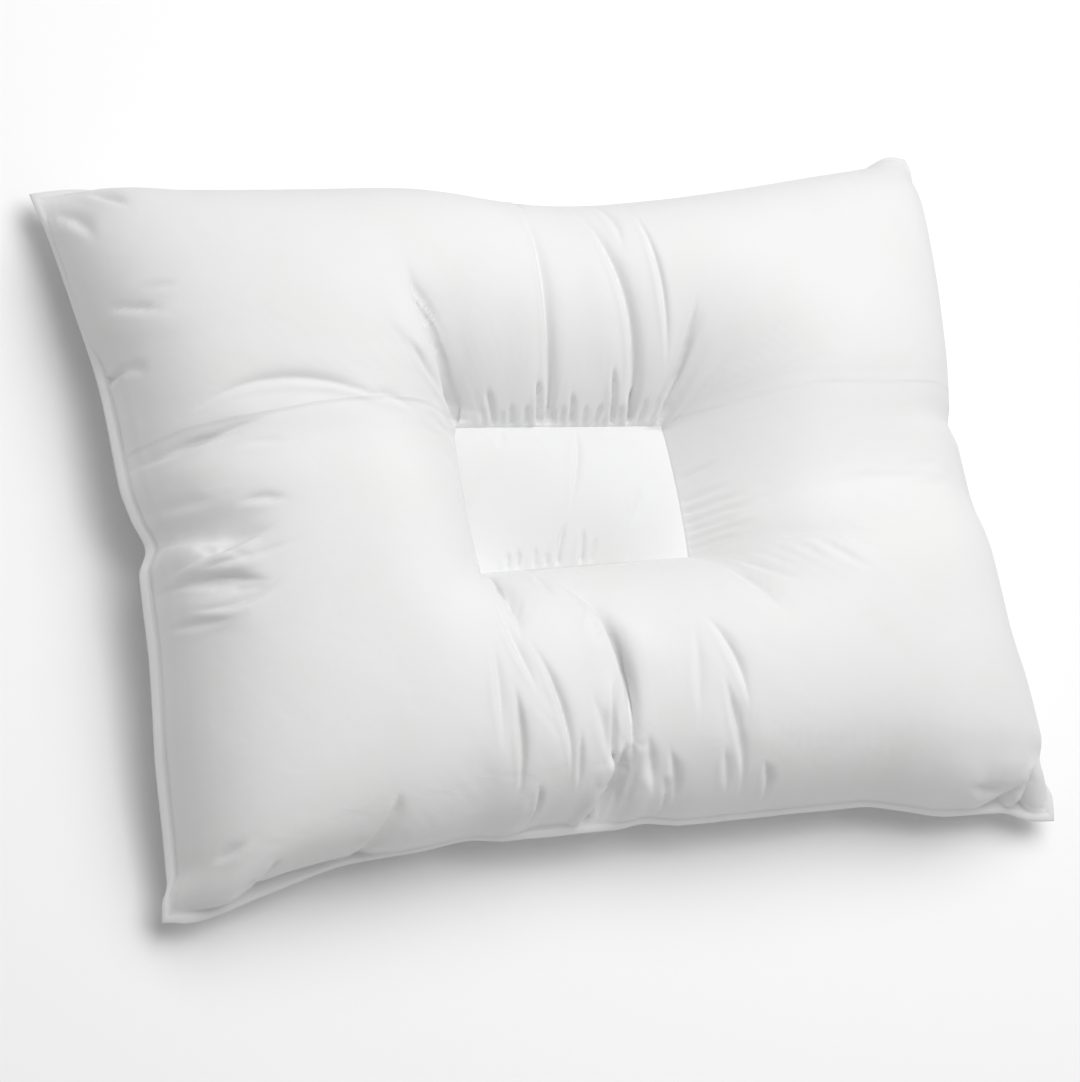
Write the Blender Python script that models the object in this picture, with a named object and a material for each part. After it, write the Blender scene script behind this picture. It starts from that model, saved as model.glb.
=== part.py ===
"""Orthopedic pillow: a filled cover with four lobes round a low, separately sewn centre panel.

The pillow lies on its back on the plane z = 0. X runs along its width, Y along its depth and Z up, and the
origin is the middle of the underside. Every size below is in millimetres, and the meshes are made in metres.
"""

from collections import namedtuple

import bpy
import numpy as np

METRES = 0.001

# Overall size over the corner ears, of a pillow cut at about 700 by 500 mm and then filled.
EAR_SPAN_X = 660.0
EAR_SPAN_Y = 492.0
CREST_Z = 128.0

# The sewn edge is a flat strip of doubled cloth. It lies lowest at the ears and highest mid-side.
STRIP_WIDTH = 8.5
STRIP_THICKNESS = 1.6
EAR_Z = 22.0
MID_SIDE_Z = 48.0
SEAM_ARCH = 0.8
EAR_REACH = 34.0

# Centre panel: its rectangle in plan, the lean of its top edge, its seam and the pocket that it sits in.
PANEL_LEFT = -80.0
PANEL_RIGHT = 71.0
PANEL_FRONT = -43.0
PANEL_BACK = 53.0
BACK_EDGE_LEAN = -0.053
PANEL_SEAM_Z = 52.0
POCKET_FLOOR_Z = 40.0
PANEL_CROWN = 12.0
SEAM_GAP = 0.3

# How far the filled cover takes to rise from the panel seam to the full height of the lobes, on each side.
RISE_LEFT = 78.0
RISE_RIGHT = 100.0
RISE_FRONT = 72.0
RISE_BACK = 86.0
RISE_FULLNESS = 2.3
FOLD_FREE_SEAM = 9.0

# Fullness of the front over the seam, and of the underside, which is flat where it rests.
FRONT_FULLNESS = (3.2, 0.46)
UNDERSIDE_FULLNESS = (3.0, 0.60)
UNDERSIDE_SPREAD = 1.3

# Mesh lines: cells from an end seam to the panel, across the panel, and on to the other seam.
CELLS_X = (20, 24, 20)
CELLS_Y = (16, 12, 16)
PANEL_CELLS = (16, 10)

# How far each sewn side is drawn in, at places from -1 to 1 along it. The extra rows are its puckers.
Draw = namedtuple("Draw", "place inward")
LEFT_SIDE = [
    Draw(-1.00, 0), Draw(-0.95, 3), Draw(-0.88, 11), Draw(-0.60, 13), Draw(-0.30, 19),
    Draw(-0.10, 21), Draw(-0.03, 28), Draw(0.05, 22), Draw(0.15, 18), Draw(0.42, 17),
    Draw(0.64, 11), Draw(0.89, 4), Draw(1.00, 0),
]
RIGHT_SIDE = [
    Draw(-1.00, 0), Draw(-0.93, 2), Draw(-0.84, 12), Draw(-0.61, 21), Draw(-0.47, 26),
    Draw(-0.21, 29), Draw(0.08, 32), Draw(0.135, 37), Draw(0.19, 33), Draw(0.45, 25),
    Draw(0.77, 14), Draw(0.92, 6), Draw(1.00, 0),
]
FRONT_SIDE = [
    Draw(-1.00, 0), Draw(-0.91, 3), Draw(-0.77, 14), Draw(-0.60, 26), Draw(-0.47, 28),
    Draw(-0.36, 31), Draw(-0.28, 28), Draw(-0.05, 27), Draw(0.01, 29), Draw(0.10, 25),
    Draw(0.50, 25), Draw(0.60, 20), Draw(0.72, 13), Draw(0.85, 12), Draw(0.93, 4),
    Draw(1.00, 0),
]
BACK_SIDE = [
    Draw(-1.00, 0), Draw(-0.93, 1), Draw(-0.85, 5), Draw(-0.72, 12), Draw(-0.50, 17),
    Draw(-0.28, 20), Draw(-0.05, 31), Draw(0.05, 35), Draw(0.17, 37), Draw(0.28, 36),
    Draw(0.47, 30), Draw(0.70, 19), Draw(0.85, 11), Draw(0.93, 3), Draw(1.00, 0),
]

# Low saddles between the lobes. Each runs from the panel to the middle of one side. Its floor lies on the
# line at `middle`, `low` mm below the crest, with one half-width on each side of that line.
Saddle = namedtuple("Saddle", "side middle low below above")
SADDLES = [
    Saddle("back", 5, 15, 62, 62),
    Saddle("front", -5, 13, 58, 58),
    Saddle("left", 42, 9, 30, 36),
    Saddle("right", -12, 28, 30, 72),
]
SADDLE_FROM_X = 60.0
SADDLE_FROM_Y = 20.0
SADDLE_GROWTH = 60.0

# Main folds, from `start` through `bend` to `end` in plan, pressed in by `depth`. `near` is the flank on the
# right hand of that direction and `far` the one on its left. A sewn fold keeps its depth to its end.
Fold = namedtuple("Fold", "start bend end depth near far sewn")
FOLDS = [
    Fold((-116, 142), (-107, 95), (-80, 56), 11, 8, 24, True),
    Fold((-131, 96), (-111, 77), (-84, 58), 4, 7, 9, True),
    Fold((-18, 176), (-23, 115), (-16, 54), 7, 7, 10, True),
    Fold((34, 153), (36, 107), (49, 51), 7, 7, 11, True),
    Fold((61, 179), (59, 127), (62, 81), 4, 7, 9, False),
    Fold((88, 118), (78, 86), (68, 50), 6, 8, 11, True),
    Fold((-304, 43), (-272, 45), (-226, 52), 5, 9, 9, False),
    Fold((-275, 59), (-215, 70), (-134, 44), 4, 9, 12, False),
    Fold((-300, 2), (-269, -5), (-237, -16), 6, 9, 10, False),
    Fold((-299, -34), (-278, -47), (-250, -54), 7, 9, 10, False),
    Fold((-303, 149), (-290, 143), (-268, 136), 4, 9, 9, False),
    Fold((-32, -62), (-26, -119), (-21, -192), 14, 8, 11, False),
    Fold((-30, -136), (-33, -180), (-46, -214), 7, 7, 8, False),
    Fold((-82, -116), (-73, -150), (-61, -200), 7, 8, 9, False),
    Fold((-102, -132), (-99, -164), (-92, -208), 7, 8, 9, False),
    Fold((-84, -48), (-112, -100), (-113, -170), 4, 9, 16, False),
    Fold((43, -108), (53, -130), (60, -160), 5, 8, 10, False),
    Fold((47, -148), (53, -175), (66, -212), 6, 8, 9, False),
    Fold((82, -60), (86, -82), (100, -100), 4, 9, 9, False),
]
FOLD_STEPS = 24
FOLD_TAPER = 0.28
LIP_HEIGHT = 0.3
LIP_PLACE = 2.3
LIP_WIDTH = 1.3
FOLD_FREE_EDGE = 0.3

# Creases of the centre panel, in the same columns.
PANEL_CREASES = [
    Fold((12, 52), (4, 12), (-12, -20), 1.6, 5, 7, True),
    Fold((40, 6), (38, -8), (30, -24), 1.2, 5, 6, False),
]


def ease(t):
    """Smooth step: 0 up to t = 0, 1 from t = 1, and level at both ends."""
    t = np.clip(t, 0.0, 1.0)
    return t * t * (3.0 - 2.0 * t)


def drawn_in(place, rows):
    """Reads a side's table at any place: a smooth cubic between rows that never overshoots a row."""
    xs = np.array([row.place for row in rows])
    ys = np.array([row.inward for row in rows], float)
    step = np.diff(xs)
    rise = np.diff(ys) / step
    slope = np.zeros(len(xs))
    same_way = rise[:-1] * rise[1:] > 0
    before, after = rise[:-1][same_way], rise[1:][same_way]
    slope[1:-1][same_way] = 2.0 * before * after / (before + after)
    cell = np.clip(np.searchsorted(xs, place) - 1, 0, len(xs) - 2)
    t = (place - xs[cell]) / step[cell]
    ends = ys[cell] * (1 + 2 * t) * (1 - t) ** 2 + ys[cell + 1] * t * t * (3 - 2 * t)
    return ends + step[cell] * (slope[cell] * t * (1 - t) ** 2 - slope[cell + 1] * t * t * (1 - t))


def seam_height(place):
    """Height of the sewn edge along a side: an arch from ear to ear."""
    return EAR_Z + (MID_SIDE_Z - EAR_Z) * np.maximum(1.0 - place * place, 0.0) ** SEAM_ARCH


def spread(u, v, inset):
    """Patch that fills the outline, `inset` mm inside it: blends opposite sides, less the corner blend."""
    half_x = EAR_SPAN_X / 2 - inset
    half_y = EAR_SPAN_Y / 2 - inset
    left = (-half_x + drawn_in(v, LEFT_SIDE), half_y * v, seam_height(v))
    right = (half_x - drawn_in(v, RIGHT_SIDE), half_y * v, seam_height(v))
    front = (half_x * u, -half_y + drawn_in(u, FRONT_SIDE), seam_height(u))
    back = (half_x * u, half_y - drawn_in(u, BACK_SIDE), seam_height(u))
    corner = (half_x * u, half_y * v, EAR_Z)
    s = (u + 1) / 2
    t = (v + 1) / 2
    return [
        (1 - s) * left[k] + s * right[k] + (1 - t) * front[k] + t * back[k] - corner[k]
        for k in range(3)
    ]


def back_edge(x):
    """The panel's back edge leans a little in plan."""
    middle = (PANEL_LEFT + PANEL_RIGHT) / 2
    return PANEL_BACK + BACK_EDGE_LEAN * (x - middle)


def full_near_edge(u, v, fullness):
    """0 on the seam and 1 well inside, with the blunt shoulders of a filled cover."""
    power, bluntness = fullness
    across = np.maximum(1.0 - np.abs(u) ** power, 0.0) ** bluntness
    along = np.maximum(1.0 - np.abs(v) ** power, 0.0) ** bluntness
    return across * along


def flat_ears(x, y):
    """0 at the four ear tips, 1 away from them, so that the ears hold no fibre."""
    away = np.hypot(EAR_SPAN_X / 2 - np.abs(x), EAR_SPAN_Y / 2 - np.abs(y))
    return 1.0 - np.exp(-((away / EAR_REACH) ** 2))


def lobe_height(x, y):
    """Height of the fibre: the crest less the four saddles."""
    z = CREST_Z + 0.0 * x
    for row in SADDLES:
        outward = {
            "back": y - SADDLE_FROM_Y, "front": -y - SADDLE_FROM_Y,
            "left": -x - SADDLE_FROM_X, "right": x - SADDLE_FROM_X,
        }[row.side]
        sideways = (x if row.side in ("front", "back") else y) - row.middle
        width = np.where(sideways < 0, row.below, row.above)
        z = z - row.low * np.exp(-((sideways / width) ** 2)) * ease(outward / SADDLE_GROWTH)
    return z


def sink_to_panel(x, y, z):
    """The cover rises steeply from the panel seam and rolls over into the lobes."""
    outside_x = np.maximum((PANEL_LEFT - x) / RISE_LEFT, (x - PANEL_RIGHT) / RISE_RIGHT)
    outside_y = np.maximum((PANEL_FRONT - y) / RISE_FRONT, (y - back_edge(x)) / RISE_BACK)
    away = np.hypot(np.maximum(outside_x, 0.0), np.maximum(outside_y, 0.0))
    risen = 1.0 - (1.0 - np.clip(away, 0.0, 1.0)) ** RISE_FULLNESS
    return PANEL_SEAM_Z + (z - PANEL_SEAM_Z) * risen


def clear_of_panel(x, y):
    """0 on the panel seam and 1 from a few mm outside it, so that folds end at the stitches."""
    outside_x = np.maximum(PANEL_LEFT - x, x - PANEL_RIGHT)
    outside_y = np.maximum(PANEL_FRONT - y, y - back_edge(x))
    away = np.hypot(np.maximum(outside_x, 0.0), np.maximum(outside_y, 0.0))
    return ease(away / FOLD_FREE_SEAM)


def fold_depth(x, y, folds):
    """Sum of the folds: soft troughs with a steep and an easy flank, and a small lip beside the steep one."""
    total = np.zeros_like(x)
    t = np.linspace(0.0, 1.0, FOLD_STEPS)
    for row in folds:
        start, end = np.array(row.start, float), np.array(row.end, float)
        pull = 2.0 * np.array(row.bend, float) - (start + end) / 2.0
        path = np.outer((1 - t) ** 2, start) + np.outer(2 * t * (1 - t), pull) + np.outer(t * t, end)
        way = np.gradient(path, axis=0)
        way /= np.linalg.norm(way, axis=1)[:, None]
        off_x = x[..., None] - path[:, 0]
        off_y = y[..., None] - path[:, 1]
        near = np.argmin(off_x ** 2 + off_y ** 2, axis=-1)
        off_x = np.take_along_axis(off_x, near[..., None], -1)[..., 0]
        off_y = np.take_along_axis(off_y, near[..., None], -1)[..., 0]
        side = way[near, 0] * off_y - way[near, 1] * off_x
        beyond = np.abs(way[near, 0] * off_x + way[near, 1] * off_y)
        trough = np.exp(-((side / np.where(side < 0, row.near, row.far)) ** 2))
        lip_off = (side + LIP_PLACE * row.near) / (LIP_WIDTH * row.near)
        lip = LIP_HEIGHT * np.exp(-(lip_off ** 2))
        along = t[near]
        ends = ease(along / FOLD_TAPER)
        if not row.sewn:
            ends = ends * ease((1 - along) / FOLD_TAPER)
        total += row.depth * (trough - lip) * ends * np.exp(-((beyond / row.near) ** 2))
    return total


def press_in(x, y, z, depth):
    """Moves the points of a grid against its own normals by `depth`."""
    points = np.stack([x, y, z], axis=-1)
    across = np.gradient(points, axis=1)
    along = np.gradient(points, axis=0)
    normal = np.cross(across, along)
    normal /= np.maximum(np.linalg.norm(normal, axis=-1), 1e-9)[..., None]
    moved = points - normal * depth[..., None]
    return moved[..., 0], moved[..., 1], moved[..., 2]


def mesh_lines(cells, first, second):
    """Lines from -1 to 1 through the panel's two edges, closer together near the seams and the panel."""
    outer_one = -1 + (first + 1) * (1 - np.cos(np.pi * np.arange(cells[0]) / cells[0])) / 2
    middle = first + (second - first) * np.arange(cells[1]) / cells[1]
    outer_two = second + (1 - second) * (1 - np.cos(np.pi * np.arange(cells[2] + 1) / cells[2])) / 2
    return np.concatenate([outer_one, middle, outer_two])


def plan_grid():
    """Grid of the whole cover in plan, bent so that the panel's four edges are mesh lines."""
    lines_x = mesh_lines(CELLS_X, 2 * PANEL_LEFT / EAR_SPAN_X, 2 * PANEL_RIGHT / EAR_SPAN_X)
    lines_y = mesh_lines(CELLS_Y, 2 * PANEL_FRONT / EAR_SPAN_Y, 2 * PANEL_BACK / EAR_SPAN_Y)
    u, v = np.meshgrid(lines_x, lines_y)
    x, y, seam_z = spread(u, v, STRIP_WIDTH)
    rows = np.clip(np.arange(len(lines_y)), CELLS_Y[0], CELLS_Y[0] + CELLS_Y[1])
    columns = np.clip(np.arange(len(lines_x)), CELLS_X[0], CELLS_X[0] + CELLS_X[1])
    part_x = (columns - CELLS_X[0]) / CELLS_X[1]
    part_y = (rows - CELLS_Y[0]) / CELLS_Y[1]
    wanted_x = (PANEL_LEFT + (PANEL_RIGHT - PANEL_LEFT) * part_x)[None, :] + 0 * x
    wanted_y = PANEL_FRONT + (back_edge(wanted_x) - PANEL_FRONT) * part_y[:, None]
    shift_x = wanted_x - x[np.ix_(rows, columns)]
    shift_y = wanted_y - y[np.ix_(rows, columns)]
    inside_x = (1 - np.abs(u)) / (1 - np.abs(lines_x[columns]))[None, :]
    inside_y = (1 - np.abs(v)) / (1 - np.abs(lines_y[rows]))[:, None]
    share = ease(np.minimum(inside_x, inside_y))
    return u, v, x + shift_x * share, y + shift_y * share, seam_z


def front_surface(u, v, x, y, seam_z):
    """The filled front: from the seam up over the shoulders, down to the panel seam, with the main folds."""
    full = full_near_edge(u, v, FRONT_FULLNESS) * flat_ears(x, y)
    z = seam_z + (lobe_height(x, y) - seam_z) * full
    z = sink_to_panel(x, y, z) + STRIP_THICKNESS / 2
    depth = fold_depth(x, y, FOLDS) * ease(full / FOLD_FREE_EDGE) * clear_of_panel(x, y)
    return press_in(x, y, z, depth)


def underside(u, v, x, y, seam_z):
    """The back of the cover: flat on z = 0 where it rests, and curving up to the seam round the edge."""
    full = full_near_edge(u, v, UNDERSIDE_FULLNESS) * np.sqrt(flat_ears(x, y))
    down = np.sin(np.pi / 2 * np.minimum(1.0, UNDERSIDE_SPREAD * full))
    return x, y, (seam_z - STRIP_THICKNESS / 2) * (1.0 - down)


class Shell:
    """Collects points and faces, then makes one closed mesh of them."""

    def __init__(self):
        self.points = []
        self.faces = []

    def add_points(self, x, y, z):
        """Adds an array of points in mm and gives back an array of their numbers."""
        first = len(self.points)
        self.points.extend(np.stack([x, y, z], axis=-1).reshape(-1, 3) * METRES)
        return first + np.arange(x.size).reshape(x.shape)

    def add_quads(self, grid, skip=None):
        """Adds a grid's cells, facing up, less a block: first and end row, first and end column."""
        for row in range(grid.shape[0] - 1):
            for column in range(grid.shape[1] - 1):
                if skip and skip[0] <= row < skip[1] and skip[2] <= column < skip[3]:
                    continue
                self.faces.append([
                    grid[row, column], grid[row, column + 1],
                    grid[row + 1, column + 1], grid[row + 1, column],
                ])

    def add_ring(self, first, second):
        """Joins two anticlockwise loops by quads, which face up if the second loop lies outside."""
        for k in range(len(first)):
            following = (k + 1) % len(first)
            self.faces.append([first[k], second[k], second[following], first[following]])

    def make(self, name, material):
        """Makes the object, without the points that no face uses."""
        used = sorted({int(number) for face in self.faces for number in face})
        renumber = {old: new for new, old in enumerate(used)}
        points = [tuple(self.points[number]) for number in used]
        faces = [[renumber[int(number)] for number in face] for face in self.faces]
        mesh = bpy.data.meshes.new(name)
        mesh.from_pydata(points, [], faces)
        mesh.materials.append(material)
        mesh.shade_smooth()
        made = bpy.data.objects.new(name, mesh)
        bpy.context.scene.collection.objects.link(made)
        return made


def rim(grid):
    """The point numbers round a grid, anticlockwise from its first corner."""
    return np.concatenate([grid[0, :-1], grid[:-1, -1], grid[-1, :0:-1], grid[:0:-1, 0]])


def add_coarse_underside(shell, grid):
    """Every second line of the grid, and every point of its rim, in triangles that face down."""
    last_row, last_column = grid.shape[0] - 1, grid.shape[1] - 1
    for row in range(0, last_row, 2):
        for column in range(0, last_column, 2):
            loop = [(row, column)]
            if row == 0:
                loop.append((row, column + 1))
            loop.append((row, column + 2))
            if column + 2 == last_column:
                loop.append((row + 1, column + 2))
            loop.append((row + 2, column + 2))
            if row + 2 == last_row:
                loop.append((row + 2, column + 1))
            loop.append((row + 2, column))
            if column == 0:
                loop.append((row + 1, column))
            inner = next(k for k, (r, c) in enumerate(loop) if 0 < r < last_row and 0 < c < last_column)
            fan = [grid[place] for place in loop[inner:] + loop[:inner]]
            for k in range(1, len(fan) - 1):
                shell.faces.append([fan[0], fan[k + 1], fan[k]])


def plain_cloth(name, colour, roughness):
    material = bpy.data.materials.new(name)
    material.use_nodes = True
    shader = material.node_tree.nodes["Principled BSDF"]
    shader.inputs["Base Color"].default_value = (*colour, 1.0)
    shader.inputs["Roughness"].default_value = roughness
    shader.inputs["Metallic"].default_value = 0.0
    return material


def make_filled_cover():
    """Front, panel pocket, underside and sewn edge strip as one closed solid."""
    shell = Shell()
    u, v, x, y, seam_z = plan_grid()
    front = shell.add_points(*front_surface(u, v, x, y, seam_z))
    rows = slice(CELLS_Y[0], CELLS_Y[0] + CELLS_Y[1] + 1)
    columns = slice(CELLS_X[0], CELLS_X[0] + CELLS_X[1] + 1)
    shell.add_quads(front, skip=(rows.start, rows.stop - 1, columns.start, columns.stop - 1))

    # The pocket goes straight down from the panel seam to its flat floor.
    pocket_seam = front[rows, columns].copy()
    floor_x, floor_y = x[rows, columns], y[rows, columns]
    for number, px, py in zip(rim(pocket_seam), rim(floor_x), rim(floor_y)):
        shell.points[number] = np.array([px, py, PANEL_SEAM_Z]) * METRES
    floor = shell.add_points(floor_x, floor_y, POCKET_FLOOR_Z + 0 * floor_x)
    shell.add_quads(floor)
    shell.add_ring(rim(floor), rim(pocket_seam))

    below = shell.add_points(*underside(u, v, x, y, seam_z))
    add_coarse_underside(shell, below)

    # The strip: a thin fin from the two rims out to the outline.
    tip_x, tip_y, tip_z = spread(u, v, 0.0)
    tips = np.stack([rim(tip_x), rim(tip_y), rim(tip_z)], axis=-1)
    upper = shell.add_points(tips[:, 0], tips[:, 1], tips[:, 2] + STRIP_THICKNESS / 2)
    lower = shell.add_points(tips[:, 0], tips[:, 1], tips[:, 2] - STRIP_THICKNESS / 2)
    shell.add_ring(rim(front), upper)
    shell.add_ring(upper, lower)
    shell.add_ring(lower, rim(below))
    return shell.make("filled_cover", plain_cloth("cover_cloth", (0.88, 0.88, 0.88), 0.85))


def make_centre_panel():
    """The inset rectangle: a low crowned pad that fills the pocket but for the gap at its seam."""
    shell = Shell()
    part_x = np.linspace(0.0, 1.0, PANEL_CELLS[0] + 1)
    part_y = np.linspace(0.0, 1.0, PANEL_CELLS[1] + 1)
    s, t = np.meshgrid(part_x, part_y)
    x = PANEL_LEFT + SEAM_GAP + (PANEL_RIGHT - PANEL_LEFT - 2 * SEAM_GAP) * s
    front_y = PANEL_FRONT + SEAM_GAP
    y = front_y + (back_edge(x) - SEAM_GAP - front_y) * t
    full = full_near_edge(2 * s - 1, 2 * t - 1, FRONT_FULLNESS)
    z = PANEL_SEAM_Z + PANEL_CROWN * full - fold_depth(x, y, PANEL_CREASES) * ease(full)
    top = shell.add_points(x, y, z)
    shell.add_quads(top)
    base_z = POCKET_FLOOR_Z + SEAM_GAP
    base = shell.add_points(rim(x), rim(y), base_z + 0 * rim(x))
    shell.add_ring(rim(top), base)
    middle = shell.add_points(np.array([x.mean()]), np.array([y.mean()]), np.array([base_z]))
    for k in range(len(base)):
        shell.faces.append([base[(k + 1) % len(base)], base[k], middle[0]])
    return shell.make("centre_panel", plain_cloth("panel_cloth", (0.90, 0.90, 0.89), 0.85))


def main():
    for old in list(bpy.data.objects):
        bpy.data.objects.remove(old, do_unlink=True)
    make_filled_cover()
    make_centre_panel()


main()
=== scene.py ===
# %% [markdown]
# A filled pillow, from sewing lines to soft light
#
# The real thing is a white cotton pillow for the neck and head. One big cover is sewn round its edge, turned
# and filled with fibre. A small rectangle is sewn into the middle of its front, so the cover is gathered
# there and swells into full lobes round a low place for the head.
#
# Such a pillow could be sculpted by hand, but then nothing in it could be measured or changed. Here every
# surface is a formula on a grid of points, the fibre's push is a short cloth simulation, and the creases are
# pressed in from tables of real sizes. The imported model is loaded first, and nothing in it is ever moved.

# %% Load the fixed frame
from collections import namedtuple

import bpy
import numpy as np
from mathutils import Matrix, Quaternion, Vector


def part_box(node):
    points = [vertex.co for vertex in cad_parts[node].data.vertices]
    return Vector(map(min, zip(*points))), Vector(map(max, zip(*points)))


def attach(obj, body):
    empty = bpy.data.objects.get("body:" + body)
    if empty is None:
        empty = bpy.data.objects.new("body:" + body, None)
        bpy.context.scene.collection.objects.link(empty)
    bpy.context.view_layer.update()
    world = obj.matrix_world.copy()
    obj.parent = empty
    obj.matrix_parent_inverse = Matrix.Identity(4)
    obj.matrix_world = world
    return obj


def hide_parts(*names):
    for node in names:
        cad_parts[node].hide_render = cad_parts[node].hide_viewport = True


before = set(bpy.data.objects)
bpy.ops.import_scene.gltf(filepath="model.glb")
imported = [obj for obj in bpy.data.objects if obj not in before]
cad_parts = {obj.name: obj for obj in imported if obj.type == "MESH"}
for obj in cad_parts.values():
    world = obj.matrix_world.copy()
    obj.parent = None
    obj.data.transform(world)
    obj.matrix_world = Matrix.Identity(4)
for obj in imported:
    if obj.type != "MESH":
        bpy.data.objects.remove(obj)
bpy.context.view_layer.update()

MM = 0.001

# %% [markdown]
# Sizes that everything else hangs on
#
# A maker starts from the cut sizes. Here they are read from the solids, so that the dressed pillow always
# fits them: how far the pillow reaches over its corner ears, and where the inset rectangle lies.

# %% Driving sizes, in millimetres
cover_low, cover_high = (np.array(corner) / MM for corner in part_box("filled_cover"))
panel_low, panel_high = (np.array(corner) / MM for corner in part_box("centre_panel"))
HALF_X = (cover_high[0] - cover_low[0]) / 2
HALF_Y = (cover_high[1] - cover_low[1]) / 2
SEAM_GAP = 0.3
PANEL_LEFT = panel_low[0] - SEAM_GAP
PANEL_RIGHT = panel_high[0] + SEAM_GAP
PANEL_FRONT = panel_low[1] - SEAM_GAP
POCKET_FLOOR_Z = panel_low[2] - SEAM_GAP
PANEL_BACK = 53.0
BACK_EDGE_LEAN = -0.053
PANEL_SEAM_Z = 52.0
PANEL_SIDE_BOW = 1.8
STRIP_THICKNESS = 1.6
print(f"cover {2 * HALF_X:.0f} x {2 * HALF_Y:.0f} mm, panel {PANEL_RIGHT - PANEL_LEFT:.0f} mm wide")

# %% [markdown]
# The camera
#
# The photograph looks down on the pillow from the front left, with the camera turned on its own axis. A
# camera that aims at a point is easier to read than three angles: distance, compass direction, height angle
# and the turn about the line of sight give the same picture. The lens is long, as for a catalogue picture.

# %% Camera
AIM = Vector((-32.6, -23.3, 50.0)) * MM
CAMERA_DISTANCE = 2622.7 * MM
CAMERA_DIRECTION = np.radians(209.85)
CAMERA_HEIGHT_ANGLE = np.radians(60.62)
CAMERA_TURN = np.radians(52.22)
LENS_MM = 133.1
SENSOR_MM = 36.0

toward_camera = Vector((
    np.cos(CAMERA_HEIGHT_ANGLE) * np.cos(CAMERA_DIRECTION),
    np.cos(CAMERA_HEIGHT_ANGLE) * np.sin(CAMERA_DIRECTION),
    np.sin(CAMERA_HEIGHT_ANGLE),
))
camera = bpy.data.objects.new("camera", bpy.data.cameras.new("camera"))
bpy.context.scene.collection.objects.link(camera)
camera.location = AIM + toward_camera * CAMERA_DISTANCE
camera.rotation_mode = "QUATERNION"
aimed = (-toward_camera).to_track_quat("-Z", "Y")
camera.rotation_quaternion = aimed @ Quaternion((0, 0, 1), CAMERA_TURN)
camera.data.lens = LENS_MM
camera.data.sensor_width = SENSOR_MM
bpy.context.scene.camera = camera
print("camera at, mm:", [round(value / MM) for value in camera.location])

# %% [markdown]
# Floor and light
#
# White cloth on a white ground has no edges but its shadows, so the light matters more than the colour. One
# wide lamp hangs above the back right, and an even white surround fills the shadows. The side walls on the
# left and at the front turn away from the lamp and go grey, which is what shows the pillow's fullness.
# The Standard view keeps white at white.

# %% Floor and light
FLOOR_SIZE = 20.0
FLOOR_WHITE = 0.90
FLOOR_ROUGHNESS = 0.9
SURROUND = 0.35
LAMP_AT = Vector((0.45, 0.6, 2.2))
LAMP_SIZE = 2.2
LAMP_WATTS = 53.0


def plain_material(name, colour, roughness):
    """A material with one Principled shader, whose sockets the caller may link further."""
    made = bpy.data.materials.new(name)
    made.use_nodes = True
    shader = made.node_tree.nodes["Principled BSDF"]
    shader.inputs["Base Color"].default_value = (*colour, 1.0)
    shader.inputs["Roughness"].default_value = roughness
    return made


floor_mesh = bpy.data.meshes.new("floor")
corner_signs = np.array([(-1, -1, 0), (1, -1, 0), (1, 1, 0), (-1, 1, 0)])
floor_mesh.from_pydata((corner_signs * FLOOR_SIZE / 2).tolist(), [], [(0, 1, 2, 3)])
floor_mesh.materials.append(plain_material("pale_floor", (FLOOR_WHITE,) * 3, FLOOR_ROUGHNESS))
floor = bpy.data.objects.new("floor", floor_mesh)
bpy.context.scene.collection.objects.link(floor)

lamp = bpy.data.objects.new("wide_lamp", bpy.data.lights.new("wide_lamp", "AREA"))
bpy.context.scene.collection.objects.link(lamp)
lamp.location = LAMP_AT
lamp.rotation_mode = "QUATERNION"
lamp.rotation_quaternion = (-LAMP_AT).to_track_quat("-Z", "Y")
lamp.data.size = LAMP_SIZE
lamp.data.energy = LAMP_WATTS

surround = bpy.data.worlds.new("surround")
surround.use_nodes = True
surround.node_tree.nodes["Background"].inputs["Color"].default_value = (1, 1, 1, 1)
surround.node_tree.nodes["Background"].inputs["Strength"].default_value = SURROUND
bpy.context.scene.world = surround
bpy.context.scene.view_settings.view_transform = "Standard"
print(f"lamp {LAMP_WATTS:.0f} W, {LAMP_SIZE} m wide, {LAMP_AT.length:.2f} m away")

# %% [markdown]
# The sewn outline
#
# The cover was cut as a rectangle, but filling draws its sides in, so the corners stay out as ears, and no
# two ears end up alike. Each side is a short table: how far it is drawn in at places from -1 to 1 along it. A
# smooth cubic runs through the rows without overshooting. The four sides then carry a patch that fills the
# outline, in the way that a drum skin follows its hoop: opposite sides are blended, and what the corners
# would count twice is taken off.

# %% Outline tables and patch
EAR_Z = 22.0
MID_SIDE_Z = 48.0
SEAM_ARCH = 0.8
Draw = namedtuple("Draw", "place inward")
LEFT_SIDE = [
    Draw(-1.00, 0), Draw(-0.95, 3), Draw(-0.88, 11), Draw(-0.60, 13), Draw(-0.30, 19),
    Draw(-0.10, 21), Draw(-0.03, 28), Draw(0.05, 22), Draw(0.15, 18), Draw(0.42, 17),
    Draw(0.64, 11), Draw(0.89, 4), Draw(1.00, 0),
]
RIGHT_SIDE = [
    Draw(-1.00, 0), Draw(-0.93, 2), Draw(-0.84, 12), Draw(-0.61, 21), Draw(-0.47, 26),
    Draw(-0.21, 29), Draw(0.08, 32), Draw(0.135, 37), Draw(0.19, 33), Draw(0.45, 25),
    Draw(0.77, 14), Draw(0.92, 6), Draw(1.00, 0),
]
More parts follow.
